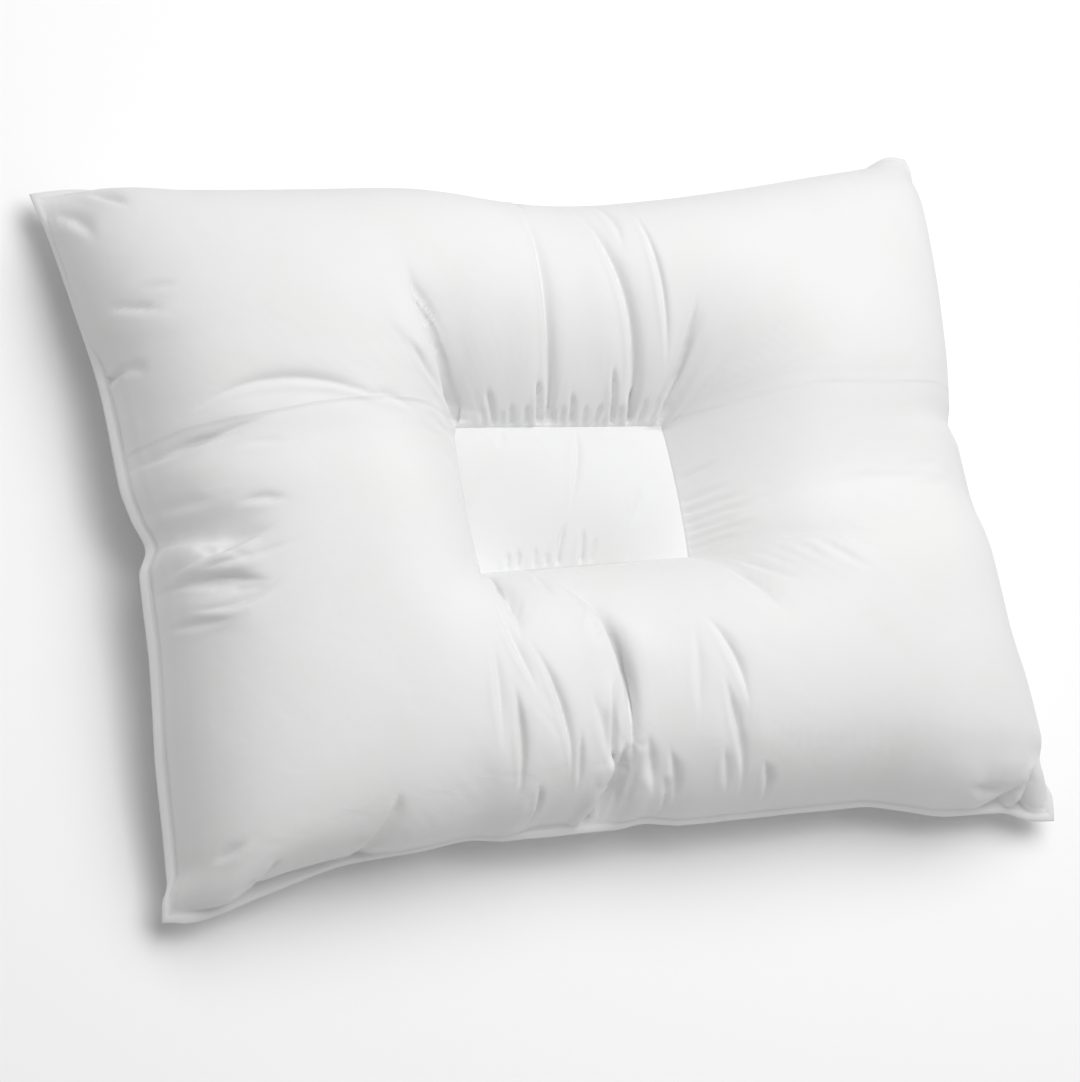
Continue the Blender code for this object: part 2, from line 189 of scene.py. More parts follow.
FRONT_SIDE = [
    Draw(-1.00, 0), Draw(-0.91, 3), Draw(-0.77, 14), Draw(-0.60, 26), Draw(-0.47, 28),
    Draw(-0.36, 31), Draw(-0.28, 28), Draw(-0.05, 27), Draw(0.01, 29), Draw(0.10, 25),
    Draw(0.50, 25), Draw(0.60, 20), Draw(0.72, 13), Draw(0.85, 12), Draw(0.93, 4),
    Draw(1.00, 0),
]
BACK_SIDE = [
    Draw(-1.00, 0), Draw(-0.93, 1), Draw(-0.85, 5), Draw(-0.72, 12), Draw(-0.50, 17),
    Draw(-0.28, 20), Draw(-0.05, 31), Draw(0.05, 35), Draw(0.17, 37), Draw(0.28, 36),
    Draw(0.47, 30), Draw(0.70, 19), Draw(0.85, 11), Draw(0.93, 3), Draw(1.00, 0),
]


# %% Curve through a side's table
def ease(t):
    """Smooth step: three squares less two cubes of t, held at 0 below 0 and at 1 above 1."""
    t = np.clip(t, 0.0, 1.0)
    return t * t * (3.0 - 2.0 * t)


def drawn_in(place, rows):
    """Cubic through a side's rows, whose slope at a row is the harmonic mean of its two neighbours'."""
    xs = np.array([row.place for row in rows])
    ys = np.array([row.inward for row in rows], float)
    step = np.diff(xs)
    rise = np.diff(ys) / step
    slope = np.zeros(len(xs))
    same_way = rise[:-1] * rise[1:] > 0
    before, after = rise[:-1][same_way], rise[1:][same_way]
    slope[1:-1][same_way] = 2.0 * before * after / (before + after)
    cell = np.clip(np.searchsorted(xs, place) - 1, 0, len(xs) - 2)
    t = (place - xs[cell]) / step[cell]
    ends = ys[cell] * (1 + 2 * t) * (1 - t) ** 2 + ys[cell + 1] * t * t * (3 - 2 * t)
    return ends + step[cell] * (slope[cell] * t * (1 - t) ** 2 - slope[cell + 1] * t * t * (1 - t))


# %% Seam height and patch
def seam_height(place):
    """Height of the sewn edge: an arch, one less the place squared, to a power, over the ears' height."""
    return EAR_Z + (MID_SIDE_Z - EAR_Z) * np.maximum(1.0 - place * place, 0.0) ** SEAM_ARCH


def blend(u, v, left, right, front, back, corner):
    """Coons patch: left and right blended across, plus front and back along, less the corners' own blend."""
    s = (u + 1) / 2
    t = (v + 1) / 2
    return (1 - s) * left + s * right + (1 - t) * front + t * back - corner


# %% Ears
Ear = namedtuple("Ear", "side_x side_y rounding shift_x shift_y lift")
EARS = [
    Ear(-1, 1, 1.0, 0, 0, 0), Ear(1, 1, 8.0, 2, 8, 6),
    Ear(-1, -1, 6.0, 0, -1, 2), Ear(1, -1, 3.0, 0, 1, 0),
]
EAR_ROUND_REACH = 17.0
EAR_SHIFT_REACH = 34.0


def shaped_ears(x, y):
    """Each tip drawn in along its diagonal within a short bell, and the whole ear moved within a wide one."""
    move = np.zeros((3,) + np.shape(x))
    for ear in EARS:
        away = np.hypot(HALF_X - ear.side_x * x, HALF_Y - ear.side_y * y)
        short = ear.rounding * np.exp(-((away / EAR_ROUND_REACH) ** 2))
        wide = np.exp(-((away / EAR_SHIFT_REACH) ** 2))
        move[0] += ear.shift_x * wide - ear.side_x * short
        move[1] += ear.shift_y * wide - ear.side_y * short
        move[2] += ear.lift * wide
    return move


# %% The filled outline
def spread(u, v, inset):
    """The patch over the outline, drawn `inset` mm inside it: plan places and the height of the seam."""
    half_x = HALF_X - inset
    half_y = HALF_Y - inset
    x = blend(
        u, v, -half_x + drawn_in(v, LEFT_SIDE), half_x - drawn_in(v, RIGHT_SIDE), half_x * u, half_x * u,
        half_x * u,
    )
    y = blend(
        u, v, half_y * v, half_y * v, -half_y + drawn_in(u, FRONT_SIDE), half_y - drawn_in(u, BACK_SIDE),
        half_y * v,
    )
    z = blend(u, v, seam_height(v), seam_height(v), seam_height(u), seam_height(u), EAR_Z)
    move = shaped_ears(x, y)
    return x + move[0], y + move[1], z + move[2]


places = np.linspace(-1, 1, 201)
deepest = [max(drawn_in(places, rows)) for rows in (LEFT_SIDE, RIGHT_SIDE, FRONT_SIDE, BACK_SIDE)]
print("drawn in by up to, mm:", [round(float(value)) for value in deepest])

# %% [markdown]
# How wide the sewn edge shows
#
# Front and back are sewn together a little inside their cut edges, which leaves a flat strip all round. It
# isn't equally wide everywhere: at the ears and along the front left it lies out flat, and where the fibre is
# full the cloth rolls over it until only a thin edge is left. One more table of each side gives the width in
# millimetres.

# %% Strip widths
Strip = namedtuple("Strip", "place width")
STRIP_LEFT = [Strip(-1.0, 9), Strip(-0.85, 7), Strip(0.30, 7), Strip(0.46, 6), Strip(0.56, 2), Strip(0.86, 2),
              Strip(1.0, 8)]
STRIP_RIGHT = [Strip(-1.0, 10), Strip(-0.88, 8), Strip(-0.78, 2.5), Strip(0.85, 2.5), Strip(1.0, 8)]
STRIP_FRONT = [Strip(-1.0, 9), Strip(-0.88, 6), Strip(-0.62, 4), Strip(-0.52, 2), Strip(-0.30, 2),
               Strip(-0.22, 7), Strip(-0.10, 7), Strip(-0.02, 3.5), Strip(0.80, 4), Strip(0.93, 8),
               Strip(1.0, 10)]
STRIP_BACK = [Strip(-1.0, 8), Strip(-0.86, 3), Strip(0.88, 2.5), Strip(1.0, 8)]


def by_rows(place, rows):
    """A table's second column, eased from row to row of its first."""
    xs = np.array([row[0] for row in rows])
    ys = np.array([row[1] for row in rows], float)
    cell = np.clip(np.searchsorted(xs, place) - 1, 0, len(xs) - 2)
    part = ease((place - xs[cell]) / (xs[cell + 1] - xs[cell]))
    return ys[cell] + (ys[cell + 1] - ys[cell]) * part


def strip_width(u, v):
    """The four width tables, eased from row to row and blended over the cloth like the outline."""
    sides = ((v, STRIP_LEFT), (v, STRIP_RIGHT), (u, STRIP_FRONT), (u, STRIP_BACK))
    widths = [by_rows(place, rows) for place, rows in sides]
    front_left, front_right = STRIP_FRONT[0].width, STRIP_FRONT[-1].width
    back_left, back_right = STRIP_BACK[0].width, STRIP_BACK[-1].width
    s = (u + 1) / 2
    t = (v + 1) / 2
    front = front_left * (1 - s) + front_right * s
    back = back_left * (1 - s) + back_right * s
    return blend(u, v, *widths, front * (1 - t) + back * t)


edge = np.linspace(-1, 1, 5)
print("strip along the left side, mm:", [round(float(w), 1) for w in strip_width(-1 + 0 * edge, edge)])

# %% [markdown]
# Where the mesh lines go
#
# A crease 5 mm wide needs points about 1.5 mm apart, but a smooth lobe doesn't. So the lines of the grid lie
# close together where the cover is gathered and further apart elsewhere. A table gives the wanted cell at a
# few places, and adding up one over that size tells how many lines to use and where each one goes. Lines
# also have to run exactly along the four sides of the inset panel, because cloth bends sharply at a seam.

# %% Mesh lines
Cell = namedtuple("Cell", "place size")
CELLS_X = [
    Cell(-330, 2.4), Cell(-250, 2.4), Cell(-135, 2.0), Cell(-80, 1.35), Cell(0, 1.45),
    Cell(71, 1.35), Cell(130, 2.4), Cell(250, 3.2), Cell(330, 2.4),
]
CELLS_Y = [
    Cell(-246, 1.8), Cell(-200, 1.8), Cell(-90, 1.9), Cell(-43, 1.5), Cell(5, 2.2),
    Cell(53, 1.35), Cell(110, 2.3), Cell(200, 2.8), Cell(246, 2.2),
]


SUM_STEPS = 400


def lines_between(low, high, cells):
    """Lines from low to high: equal steps of the running sum of one over the wanted cell, in fours."""
    fine = np.linspace(low, high, SUM_STEPS)
    wanted = np.interp(fine, [cell.place for cell in cells], [cell.size for cell in cells])
    running = np.concatenate([[0.0], np.cumsum(np.diff(fine) * 2 / (wanted[1:] + wanted[:-1]))])
    count = 4 * int(round(running[-1] / 4))
    return np.interp(np.arange(count + 1) / count * running[-1], running, fine)


def back_edge(x):
    """The panel's back edge leans a little in plan: a straight line in x."""
    return PANEL_BACK + BACK_EDGE_LEAN * (x - (PANEL_LEFT + PANEL_RIGHT) / 2)


def panel_sides(y):
    """Left and right side of the panel: straight, but bowed outwards by a parabola of y."""
    t = np.clip((y - PANEL_FRONT) / (PANEL_BACK - PANEL_FRONT), 0.0, 1.0)
    bow = PANEL_SIDE_BOW * 4 * t * (1 - t)
    return PANEL_LEFT - bow, PANEL_RIGHT + bow


stretches_x = [
    lines_between(-HALF_X, PANEL_LEFT, CELLS_X),
    lines_between(PANEL_LEFT, PANEL_RIGHT, CELLS_X),
    lines_between(PANEL_RIGHT, HALF_X, CELLS_X),
]
stretches_y = [
    lines_between(-HALF_Y, PANEL_FRONT, CELLS_Y),
    lines_between(PANEL_FRONT, PANEL_BACK, CELLS_Y),
    lines_between(PANEL_BACK, HALF_Y, CELLS_Y),
]
lines_x = np.concatenate([stretches_x[0][:-1], stretches_x[1][:-1], stretches_x[2]]) / HALF_X
lines_y = np.concatenate([stretches_y[0][:-1], stretches_y[1][:-1], stretches_y[2]]) / HALF_Y
panel_columns = (len(stretches_x[0]) - 1, len(stretches_x[0]) + len(stretches_x[1]) - 2)
panel_rows = (len(stretches_y[0]) - 1, len(stretches_y[0]) + len(stretches_y[1]) - 2)
print(f"{len(lines_x)} x {len(lines_y)} lines, panel in columns {panel_columns}, rows {panel_rows}")


# %% Plan of the lines
def plan_grid(step):
    """Plan of every step-th line: the patch, shifted near the panel so that its four sides are lines."""
    u, v = np.meshgrid(lines_x[::step], lines_y[::step])
    x, y, seam_z = spread(u, v, strip_width(u, v))
    first_column, end_column = (value // step for value in panel_columns)
    first_row, end_row = (value // step for value in panel_rows)
    columns = np.clip(np.arange(u.shape[1]), first_column, end_column)
    rows = np.clip(np.arange(u.shape[0]), first_row, end_row)
    wanted_x = (lines_x[::step] * HALF_X)[columns][None, :] + 0 * x
    part_y = ((lines_y[::step] * HALF_Y)[rows] - PANEL_FRONT) / (PANEL_BACK - PANEL_FRONT)
    wanted_y = PANEL_FRONT + (back_edge(wanted_x) - PANEL_FRONT) * part_y[:, None]
    part_x = (wanted_x - PANEL_LEFT) / (PANEL_RIGHT - PANEL_LEFT)
    left, right = panel_sides(wanted_y)
    wanted_x = left + (right - left) * part_x
    shift_x = wanted_x - x[np.ix_(rows, columns)]
    shift_y = wanted_y - y[np.ix_(rows, columns)]
    inside_x = (1 - np.abs(u)) / (1 - np.abs(u[0, columns]))[None, :]
    inside_y = (1 - np.abs(v)) / (1 - np.abs(v[rows, 0]))[:, None]
    share = ease(np.minimum(inside_x, inside_y))
    return u, v, x + shift_x * share, y + shift_y * share, seam_z


# %% [markdown]
# The fibre's height
#
# Four lobes meet over low saddles, and everything sinks to the panel. The height is a product of simple
# curves: blunt shoulders at the outer seam, bell-shaped troughs for the saddles, and a steep rise away from
# the panel's seam. Full cloth also rolls outwards over its seam, most of all at the front left, where it
# hides in its own shade. The underside is the same idea upside down, cut off flat where it lies on the bed.

# %% Filled height
CREST_Z = 128.0
EAR_REACH = 34.0
FRONT_FULLNESS = (3.2, 0.46)
UNDERSIDE_FULLNESS = (3.0, 0.60)
UNDERSIDE_SPREAD = 1.3
PANEL_CROWN = 15.0
PANEL_FULLNESS = (2.1, 0.95)
RISE_LEFT = 78.0
RISE_RIGHT = 100.0
RISE_FRONT = 72.0
RISE_BACK = 114.0
RISE_FULLNESS = 2.1
Saddle = namedtuple("Saddle", "side middle low below above")
SADDLES = [
    Saddle("back", 5, 15, 62, 62),
    Saddle("front", -5, 13, 58, 58),
    Saddle("left", 42, 9, 30, 36),
    Saddle("right", -12, 28, 30, 72),
]
Roll = namedtuple("Roll", "place reach")
ROLL_LEFT = [Roll(-1.0, 0), Roll(-0.85, 3), Roll(-0.15, 3), Roll(-0.03, 0), Roll(0.1, 3), Roll(0.85, 6),
             Roll(1.0, 0)]
ROLL_RIGHT = [Roll(-1.0, 0), Roll(-0.8, 5), Roll(0.8, 5), Roll(1.0, 0)]
ROLL_FRONT = [Roll(-1.0, 0), Roll(-0.88, 18), Roll(-0.55, 18), Roll(-0.35, 8), Roll(-0.2, 4), Roll(-0.1, 0),
              Roll(0.0, 2), Roll(0.6, 3), Roll(0.85, 6), Roll(1.0, 0)]
ROLL_BACK = [Roll(-1.0, 0), Roll(-0.8, 5), Roll(0.8, 5), Roll(1.0, 0)]
ROLL_RISE = 10.0
ROLL_FALL = 40.0
SADDLE_FROM_X = 60.0
SADDLE_FROM_Y = 20.0
SADDLE_GROWTH = 60.0


# %% Fullness and roll
def full_near_edge(u, v, fullness):
    """One less a power of the place, to a small power, in each direction: 0 on the seam, 1 well inside."""
    power, bluntness = fullness
    across = np.maximum(1.0 - np.abs(u) ** power, 0.0) ** bluntness
    along = np.maximum(1.0 - np.abs(v) ** power, 0.0) ** bluntness
    return across * along


def flat_ears(x, y):
    """One less a bell round each ear tip, so that the ears hold no fibre."""
    away = np.hypot(HALF_X - np.abs(x), HALF_Y - np.abs(y))
    return 1.0 - np.exp(-((away / EAR_REACH) ** 2))


def rolled_out(u, v):
    """Outward shift over each seam: the table's reach times a rise and a slower fall with the distance."""
    sides = (
        (ROLL_LEFT, v, (1 + u) * HALF_X), (ROLL_RIGHT, v, (1 - u) * HALF_X),
        (ROLL_FRONT, u, (1 + v) * HALF_Y), (ROLL_BACK, u, (1 - v) * HALF_Y),
    )
    left, right, front, back = (
        by_rows(place, rows) * (1 - np.exp(-off / ROLL_RISE)) * np.exp(-off / ROLL_FALL)
        for rows, place, off in sides
    )
    return right - left, back - front


# %% Lobes and the way down to the panel
def lobe_height(x, y):
    """The crest less one bell-shaped trough for each saddle, which grows from the panel outwards."""
    z = CREST_Z + 0.0 * x
    for row in SADDLES:
        outward = {
            "back": y - SADDLE_FROM_Y, "front": -y - SADDLE_FROM_Y,
            "left": -x - SADDLE_FROM_X, "right": x - SADDLE_FROM_X,
        }[row.side]
        sideways = (x if row.side in ("front", "back") else y) - row.middle
        width = np.where(sideways < 0, row.below, row.above)
        z = z - row.low * np.exp(-((sideways / width) ** 2)) * ease(outward / SADDLE_GROWTH)
    return z


def outside_panel(x, y, left, right, front, back):
    """Distance outside the panel's rectangle, each side counted in its own unit."""
    left_side, right_side = panel_sides(y)
    off_x = np.maximum((left_side - x) / left, (x - right_side) / right)
    off_y = np.maximum((PANEL_FRONT - y) / front, (y - back_edge(x)) / back)
    return np.hypot(np.maximum(off_x, 0.0), np.maximum(off_y, 0.0))


def cover_height(u, v, x, y, seam_z):
    """Seam height plus fullness times fibre, then sunk to the panel's seam by a power of the distance."""
    full = full_near_edge(u, v, FRONT_FULLNESS) * flat_ears(x, y)
    z = seam_z + (lobe_height(x, y) - seam_z) * full
    away = np.clip(outside_panel(x, y, RISE_LEFT, RISE_RIGHT, RISE_FRONT, RISE_BACK), 0.0, 1.0)
    return PANEL_SEAM_Z + (z - PANEL_SEAM_Z) * (1.0 - (1.0 - away) ** RISE_FULLNESS), full


def panel_places(x, y):
    """Place inside the panel, from -1 to 1 each way."""
    left, right = panel_sides(y)
    across = 2 * (x - left) / (right - left) - 1
    along = 2 * (y - PANEL_FRONT) / (back_edge(x) - PANEL_FRONT) - 1
    return np.clip(across, -1, 1), np.clip(along, -1, 1)


# %% [markdown]
# Folds and creases from tables
#
# Where too much cloth meets a short seam it buckles. A fold's section isn't round: one flank is steep, with a
# small raised lip, and the other eases out. Each fold is one row of a table, with a start, a bend and an end
# in plan. The function finds the nearest point of that curve for every point of the cloth, tells which side
# it lies on, and adds a bell-shaped trough with its own width on each side. Broad folds go in before the
# simulation, so that the fibre swells between them, and the narrow creases go in after it.

# %% Fold function
Fold = namedtuple("Fold", "start bend end depth near far push sewn")
FOLD_STEPS = 100
FOLD_TAPER = 0.45
FOLD_NARROW = 0.35
LIP_HEIGHT = 0.25
LIP_PLACE = 2.3
LIP_WIDTH = 1.3
PUSH_PLACE = 0.3
PUSH_WIDTH = 1.7
FOLD_REACH = 3.6


def press_of(x, y, rows):
    """Depth and sideways slide of all folds: trough less lip, each a bell of the distance to the curve.

    Depth and width shrink together towards an open end, so a fold ends in a point. The slide carries the
    lip over the trough, which makes a crisp edge.
    """
    depth = np.zeros(x.shape)
    slide = np.zeros(x.shape + (2,))
    t = np.linspace(0.0, 1.0, FOLD_STEPS)
    for row in rows:
        start, end = np.array(row.start, float), np.array(row.end, float)
        pull = 2.0 * np.array(row.bend, float) - (start + end) / 2.0
        path = np.outer((1 - t) ** 2, start) + np.outer(2 * t * (1 - t), pull) + np.outer(t * t, end)
        way = np.gradient(path, axis=0)
        way /= np.linalg.norm(way, axis=1)[:, None]
        reach = FOLD_REACH * max(row.near, row.far)
        low, high = path.min(0) - reach, path.max(0) + reach
        close = (x > low[0]) & (x < high[0]) & (y > low[1]) & (y < high[1])
        off_x = x[close][:, None] - path[:, 0]
        off_y = y[close][:, None] - path[:, 1]
        nearest = np.argmin(off_x ** 2 + off_y ** 2, axis=-1)
        off_x = np.take_along_axis(off_x, nearest[:, None], -1)[:, 0]
        off_y = np.take_along_axis(off_y, nearest[:, None], -1)[:, 0]
        side = way[nearest, 0] * off_y - way[nearest, 1] * off_x
        at_tip = (nearest == 0) | (nearest == FOLD_STEPS - 1)
        beyond = np.where(at_tip, way[nearest, 0] * off_x + way[nearest, 1] * off_y, 0.0)
        ends = ease(t[nearest] / FOLD_TAPER)
        if not row.sewn:
            ends = ends * ease((1 - t[nearest]) / FOLD_TAPER)
        narrow = FOLD_NARROW + (1 - FOLD_NARROW) * ends
        near = row.near * narrow
        trough = np.exp(-((side / np.where(side < 0, near, row.far * narrow)) ** 2))
        lip = LIP_HEIGHT * np.exp(-(((side + LIP_PLACE * near) / (LIP_WIDTH * near)) ** 2))
        there = ends * np.exp(-((beyond / near) ** 2))
        depth[close] += row.depth * (trough - lip) * there
        carried = np.exp(-(((side + PUSH_PLACE * near) / (PUSH_WIDTH * near)) ** 2))
        across = np.stack([-way[nearest, 1], way[nearest, 0]], axis=-1)
        slide[close] += row.push * (carried * there)[:, None] * across
    return depth, slide


# %% Normals of a grid
def normals_of(points):
    """Cross product of the steps along a grid's columns and rows, made one long."""
    normal = np.cross(np.gradient(points, axis=1), np.gradient(points, axis=0))
    return normal / np.maximum(np.linalg.norm(normal, axis=-1), 1e-9)[..., None]


# %% Broad folds
BROAD_FOLDS = [
    Fold((-124, 156), (-111, 103), (-72, 48), 8, 7, 24, 0, True),
    Fold((-134, 98), (-112, 77), (-74, 52), 2, 6, 8, 0, True),
    Fold((-17, 196), (-22, 120), (-14, 54), 2.5, 7, 8, 0, True),
    Fold((24, 190), (35, 120), (46, 52), 2.5, 7, 8, 0, True),
    Fold((86, 122), (77, 85), (66, 44), 3.5, 7, 10, 0, True),
    Fold((-304, 43), (-272, 45), (-226, 52), 4, 9, 9, 0, False),
    Fold((-278, 59), (-215, 70), (-134, 44), 3, 8, 12, 0, False),
    Fold((-302, -2), (-274, -14), (-240, -18), 6, 8, 10, 0, False),
    Fold((-299, -40), (-276, -50), (-242, -54), 6, 7, 11, 0, False),
    Fold((-303, 149), (-290, 143), (-268, 136), 3, 8, 9, 0, False),
    Fold((-34, -64), (-24, -120), (-22, -198), 8, 7, 10, 0, False),
    Fold((-24, -174), (-26, -196), (-31, -216), 12, 5, 11, 0, True),
    Fold((72, -42), (115, -47), (200, -58), 3, 6, 15, 0, False),
    Fold((-79, -30), (-90, -72), (-95, -114), 5, 6, 14, 0, False),
    Fold((-88, -112), (-76, -150), (-62, -202), 3, 7, 9, 0, False),
    Fold((-104, -130), (-105, -168), (-100, -208), 3, 7, 9, 0, False),
    Fold((43, -98), (53, -130), (60, -166), 2.5, 7, 10, 0, False),
    Fold((47, -138), (53, -175), (66, -216), 3.5, 7, 9, 0, False),
    Fold((82, -56), (86, -80), (104, -104), 2.5, 8, 9, 0, False),
    Fold((236, -206), (262, -222), (300, -226), 3, 6, 9, 0, False),
]
FOLD_FREE_EDGE = 0.3
FOLD_FREE_SEAM = 9.0


# %% Starting shapes
def starting_front(step):
    """Cover and panel as one sheet of every step-th line, with the broad folds pressed along its normals."""
    u, v, x, y, seam_z = plan_grid(step)
    z, full = cover_height(u, v, x, y, seam_z)
    z = z + STRIP_THICKNESS / 2 * (1 - full)
    out_x, out_y = rolled_out(u, v)
    points = np.stack([x + out_x, y + out_y, z], axis=-1)
    clear = ease(outside_panel(x, y, 1, 1, 1, 1) / FOLD_FREE_SEAM)
    depth = press_of(x, y, BROAD_FOLDS)[0] * ease(full / FOLD_FREE_EDGE) * clear
    points = points - normals_of(points) * depth[..., None]
    rows = slice(panel_rows[0] // step, panel_rows[1] // step + 1)
    columns = slice(panel_columns[0] // step, panel_columns[1] // step + 1)
    across, along = panel_places(x[rows, columns], y[rows, columns])
    points[rows, columns, 0] = x[rows, columns]
    points[rows, columns, 1] = y[rows, columns]
    points[rows, columns, 2] = PANEL_SEAM_Z + PANEL_CROWN * full_near_edge(across, along, PANEL_FULLNESS)
    return points


def starting_underside(step):
    """A quarter sine of the fullness takes the seam's height down to the flat."""
    u, v, x, y, seam_z = plan_grid(step)
    full = full_near_edge(u, v, UNDERSIDE_FULLNESS) * np.sqrt(flat_ears(x, y))
    down = np.sin(np.pi / 2 * np.minimum(1.0, UNDERSIDE_SPREAD * full))
    z = (seam_z - STRIP_THICKNESS / 2) * (1.0 - down)
    return np.stack([x, y, z], axis=-1)


fine_front = starting_front(1)
print(f"lobes rise to {fine_front[..., 2].max():.0f} mm, panel crown {PANEL_SEAM_Z + PANEL_CROWN:.0f} mm")

# %% [markdown]
# The fibre pushes
#
# A formula makes a shape that is too even. In a real pillow the fibre pushes from inside and the seams hold,
# so the cloth between them bulges and tightens by a different amount everywhere. Blender's Cloth does that
# well: the seams are pinned, and pressure inside pushes outwards. The rest of the cloth is held by a weak
# spring to its place, or else it would swell into a balloon. The grid is fine, so each point stands for very
# little cloth: half a gram, and a spring hundreds of times weaker than Blender's own, or else nothing would
# move at all. No point may move more than a few millimetres, so the pillow keeps its size. The simulation
# runs on every second line, and its result is refined afterwards.

# %% Cloth simulation
SIM_FRAMES = 16
SIM_PRESSURE = 80.0
SIM_CAP = 7.0
SIM_HOLD = 0.45
WEIGHT_LEVELS = 24
ON_SEAM = 0.01
PANEL_HALF_X = 75.0
PANEL_HALF_Y = 48.0
CLOTH_SETTINGS = {
    "quality": 5, "mass": 0.0005, "tension_stiffness": 8.0, "compression_stiffness": 8.0,
    "shear_stiffness": 1.5, "bending_stiffness": 0.08, "pin_stiffness": 0.003,
    "use_pressure": True, "uniform_pressure_force": SIM_PRESSURE,
}


def grid_quads(numbers):
    """Four-cornered faces between neighbouring numbers of a grid, anticlockwise seen from above."""
    corners = [numbers[:-1, :-1], numbers[:-1, 1:], numbers[1:, 1:], numbers[1:, :-1]]
    return np.stack(corners, axis=-1).reshape(-1, 4)


def rim(grid):
    """The entries round a grid, anticlockwise from its first corner."""
    return np.concatenate([grid[0, :-1], grid[:-1, -1], grid[-1, :0:-1], grid[:0:-1, 0]])


def give_weights(thing, name, weights):
    """A vertex group with the weights rounded to a few levels, so that each level is one call."""
    group = thing.vertex_groups.new(name=name)
    levels = np.rint(weights * WEIGHT_LEVELS).astype(int)
    for level in np.unique(levels[levels > 0]):
        group.add(np.flatnonzero(levels == level).tolist(), level / WEIGHT_LEVELS, "REPLACE")
    return name


# %% One run of Cloth
def simulate(points, faces, hold):
    """Runs Cloth on the mesh and gives back its points; where hold is 1 the cloth is pinned."""
    mesh = bpy.data.meshes.new("simulated")
    mesh.from_pydata((points * MM).tolist(), [], faces.tolist())
    thing = bpy.data.objects.new("simulated", mesh)
    bpy.context.scene.collection.objects.link(thing)
    cloth = thing.modifiers.new("Cloth", "CLOTH")
    cloth.settings.vertex_group_mass = give_weights(thing, "hold", hold)
    for setting, value in CLOTH_SETTINGS.items():
        setattr(cloth.settings, setting, value)
    cloth.settings.effector_weights.gravity = 0.0
    cloth.collision_settings.use_collision = False
    cloth.collision_settings.use_self_collision = False
    cloth.point_cache.frame_end = SIM_FRAMES
    for number in range(1, SIM_FRAMES + 1):
        bpy.context.scene.frame_set(number)
    settled = thing.evaluated_get(bpy.context.evaluated_depsgraph_get())
    result = np.empty(len(points) * 3, np.float32)
    settled.to_mesh().vertices.foreach_get("co", result)
    settled.to_mesh_clear()
    bpy.data.objects.remove(thing)
    bpy.context.scene.frame_set(1)
    return result.reshape(-1, 3) / MM


# %% Cap and refinement
def capped(shift, cap):
    """Shortens a shift to cap times the hyperbolic tangent of its length over cap."""
    length = np.maximum(np.linalg.norm(shift, axis=-1), 1e-9)[..., None]
    return shift * cap * np.tanh(length / cap) / length


def refine_rows(field):
    """A new row halfway takes nine sixteenths of its two neighbours less a sixteenth of the next two."""
    padded = np.concatenate([2 * field[:1] - field[1:2], field, 2 * field[-1:] - field[-2:-1]])
    halfway = (9 * (padded[1:-2] + padded[2:-1]) - padded[:-3] - padded[3:]) / 16
    result = np.empty((2 * field.shape[0] - 1,) + field.shape[1:])
    result[::2] = field
    result[1::2] = halfway
    return result


def refine(field):
    """Doubles a grid's lines both ways."""
    return refine_rows(refine_rows(field).swapaxes(0, 1)).swapaxes(0, 1)


# %% Run it on every second line
coarse_front = starting_front(2)
coarse_underside = starting_underside(2)
front_shift = np.zeros(coarse_front.shape)
underside_shift = np.zeros(coarse_front.shape)
shape = coarse_front.shape[:2]
upper = np.arange(shape[0] * shape[1]).reshape(shape)
lower = upper + upper.size
inner = np.zeros(shape, bool)
inner[1:-1, 1:-1] = True
lower[~inner] = upper[~inner]
used = np.concatenate([np.arange(upper.size), lower[inner]])
renumber = np.zeros(2 * upper.size, int)
renumber[used] = np.arange(len(used))
everything = np.concatenate([coarse_front.reshape(-1, 3), coarse_underside[inner]])
faces = renumber[np.concatenate([grid_quads(upper), grid_quads(lower)[:, ::-1]])]

x, y = coarse_front[..., 0], coarse_front[..., 1]
u, v = np.meshgrid(lines_x[::2], lines_y[::2])
seam_off = np.minimum((1 - np.abs(u)) * HALF_X, (1 - np.abs(v)) * HALF_Y)
across, along = panel_places(x, y)
inside_off = np.minimum((1 - np.abs(across)) * PANEL_HALF_X, (1 - np.abs(along)) * PANEL_HALF_Y)
panel_off = np.maximum(outside_panel(x, y, 1, 1, 1, 1), inside_off)
hold = np.where((seam_off < ON_SEAM) | (panel_off < ON_SEAM), 1.0, SIM_HOLD)
moved = simulate(everything, faces, np.concatenate([hold.ravel(), hold[inner]]))
shift = capped(moved - everything, SIM_CAP)
front_shift = shift[:upper.size].reshape(coarse_front.shape)
underside_shift[inner] = shift[upper.size:]
print(f"{len(everything)} points simulated, moved by {np.linalg.norm(shift, axis=-1).mean():.1f} mm "
          f"on average and {np.linalg.norm(shift, axis=-1).max():.1f} mm at most")
filled_front = fine_front + refine(front_shift)
filled_underside = (coarse_underside + underside_shift)[::2, ::2]
filled_underside[..., 2] = np.maximum(filled_underside[..., 2], 0.0)
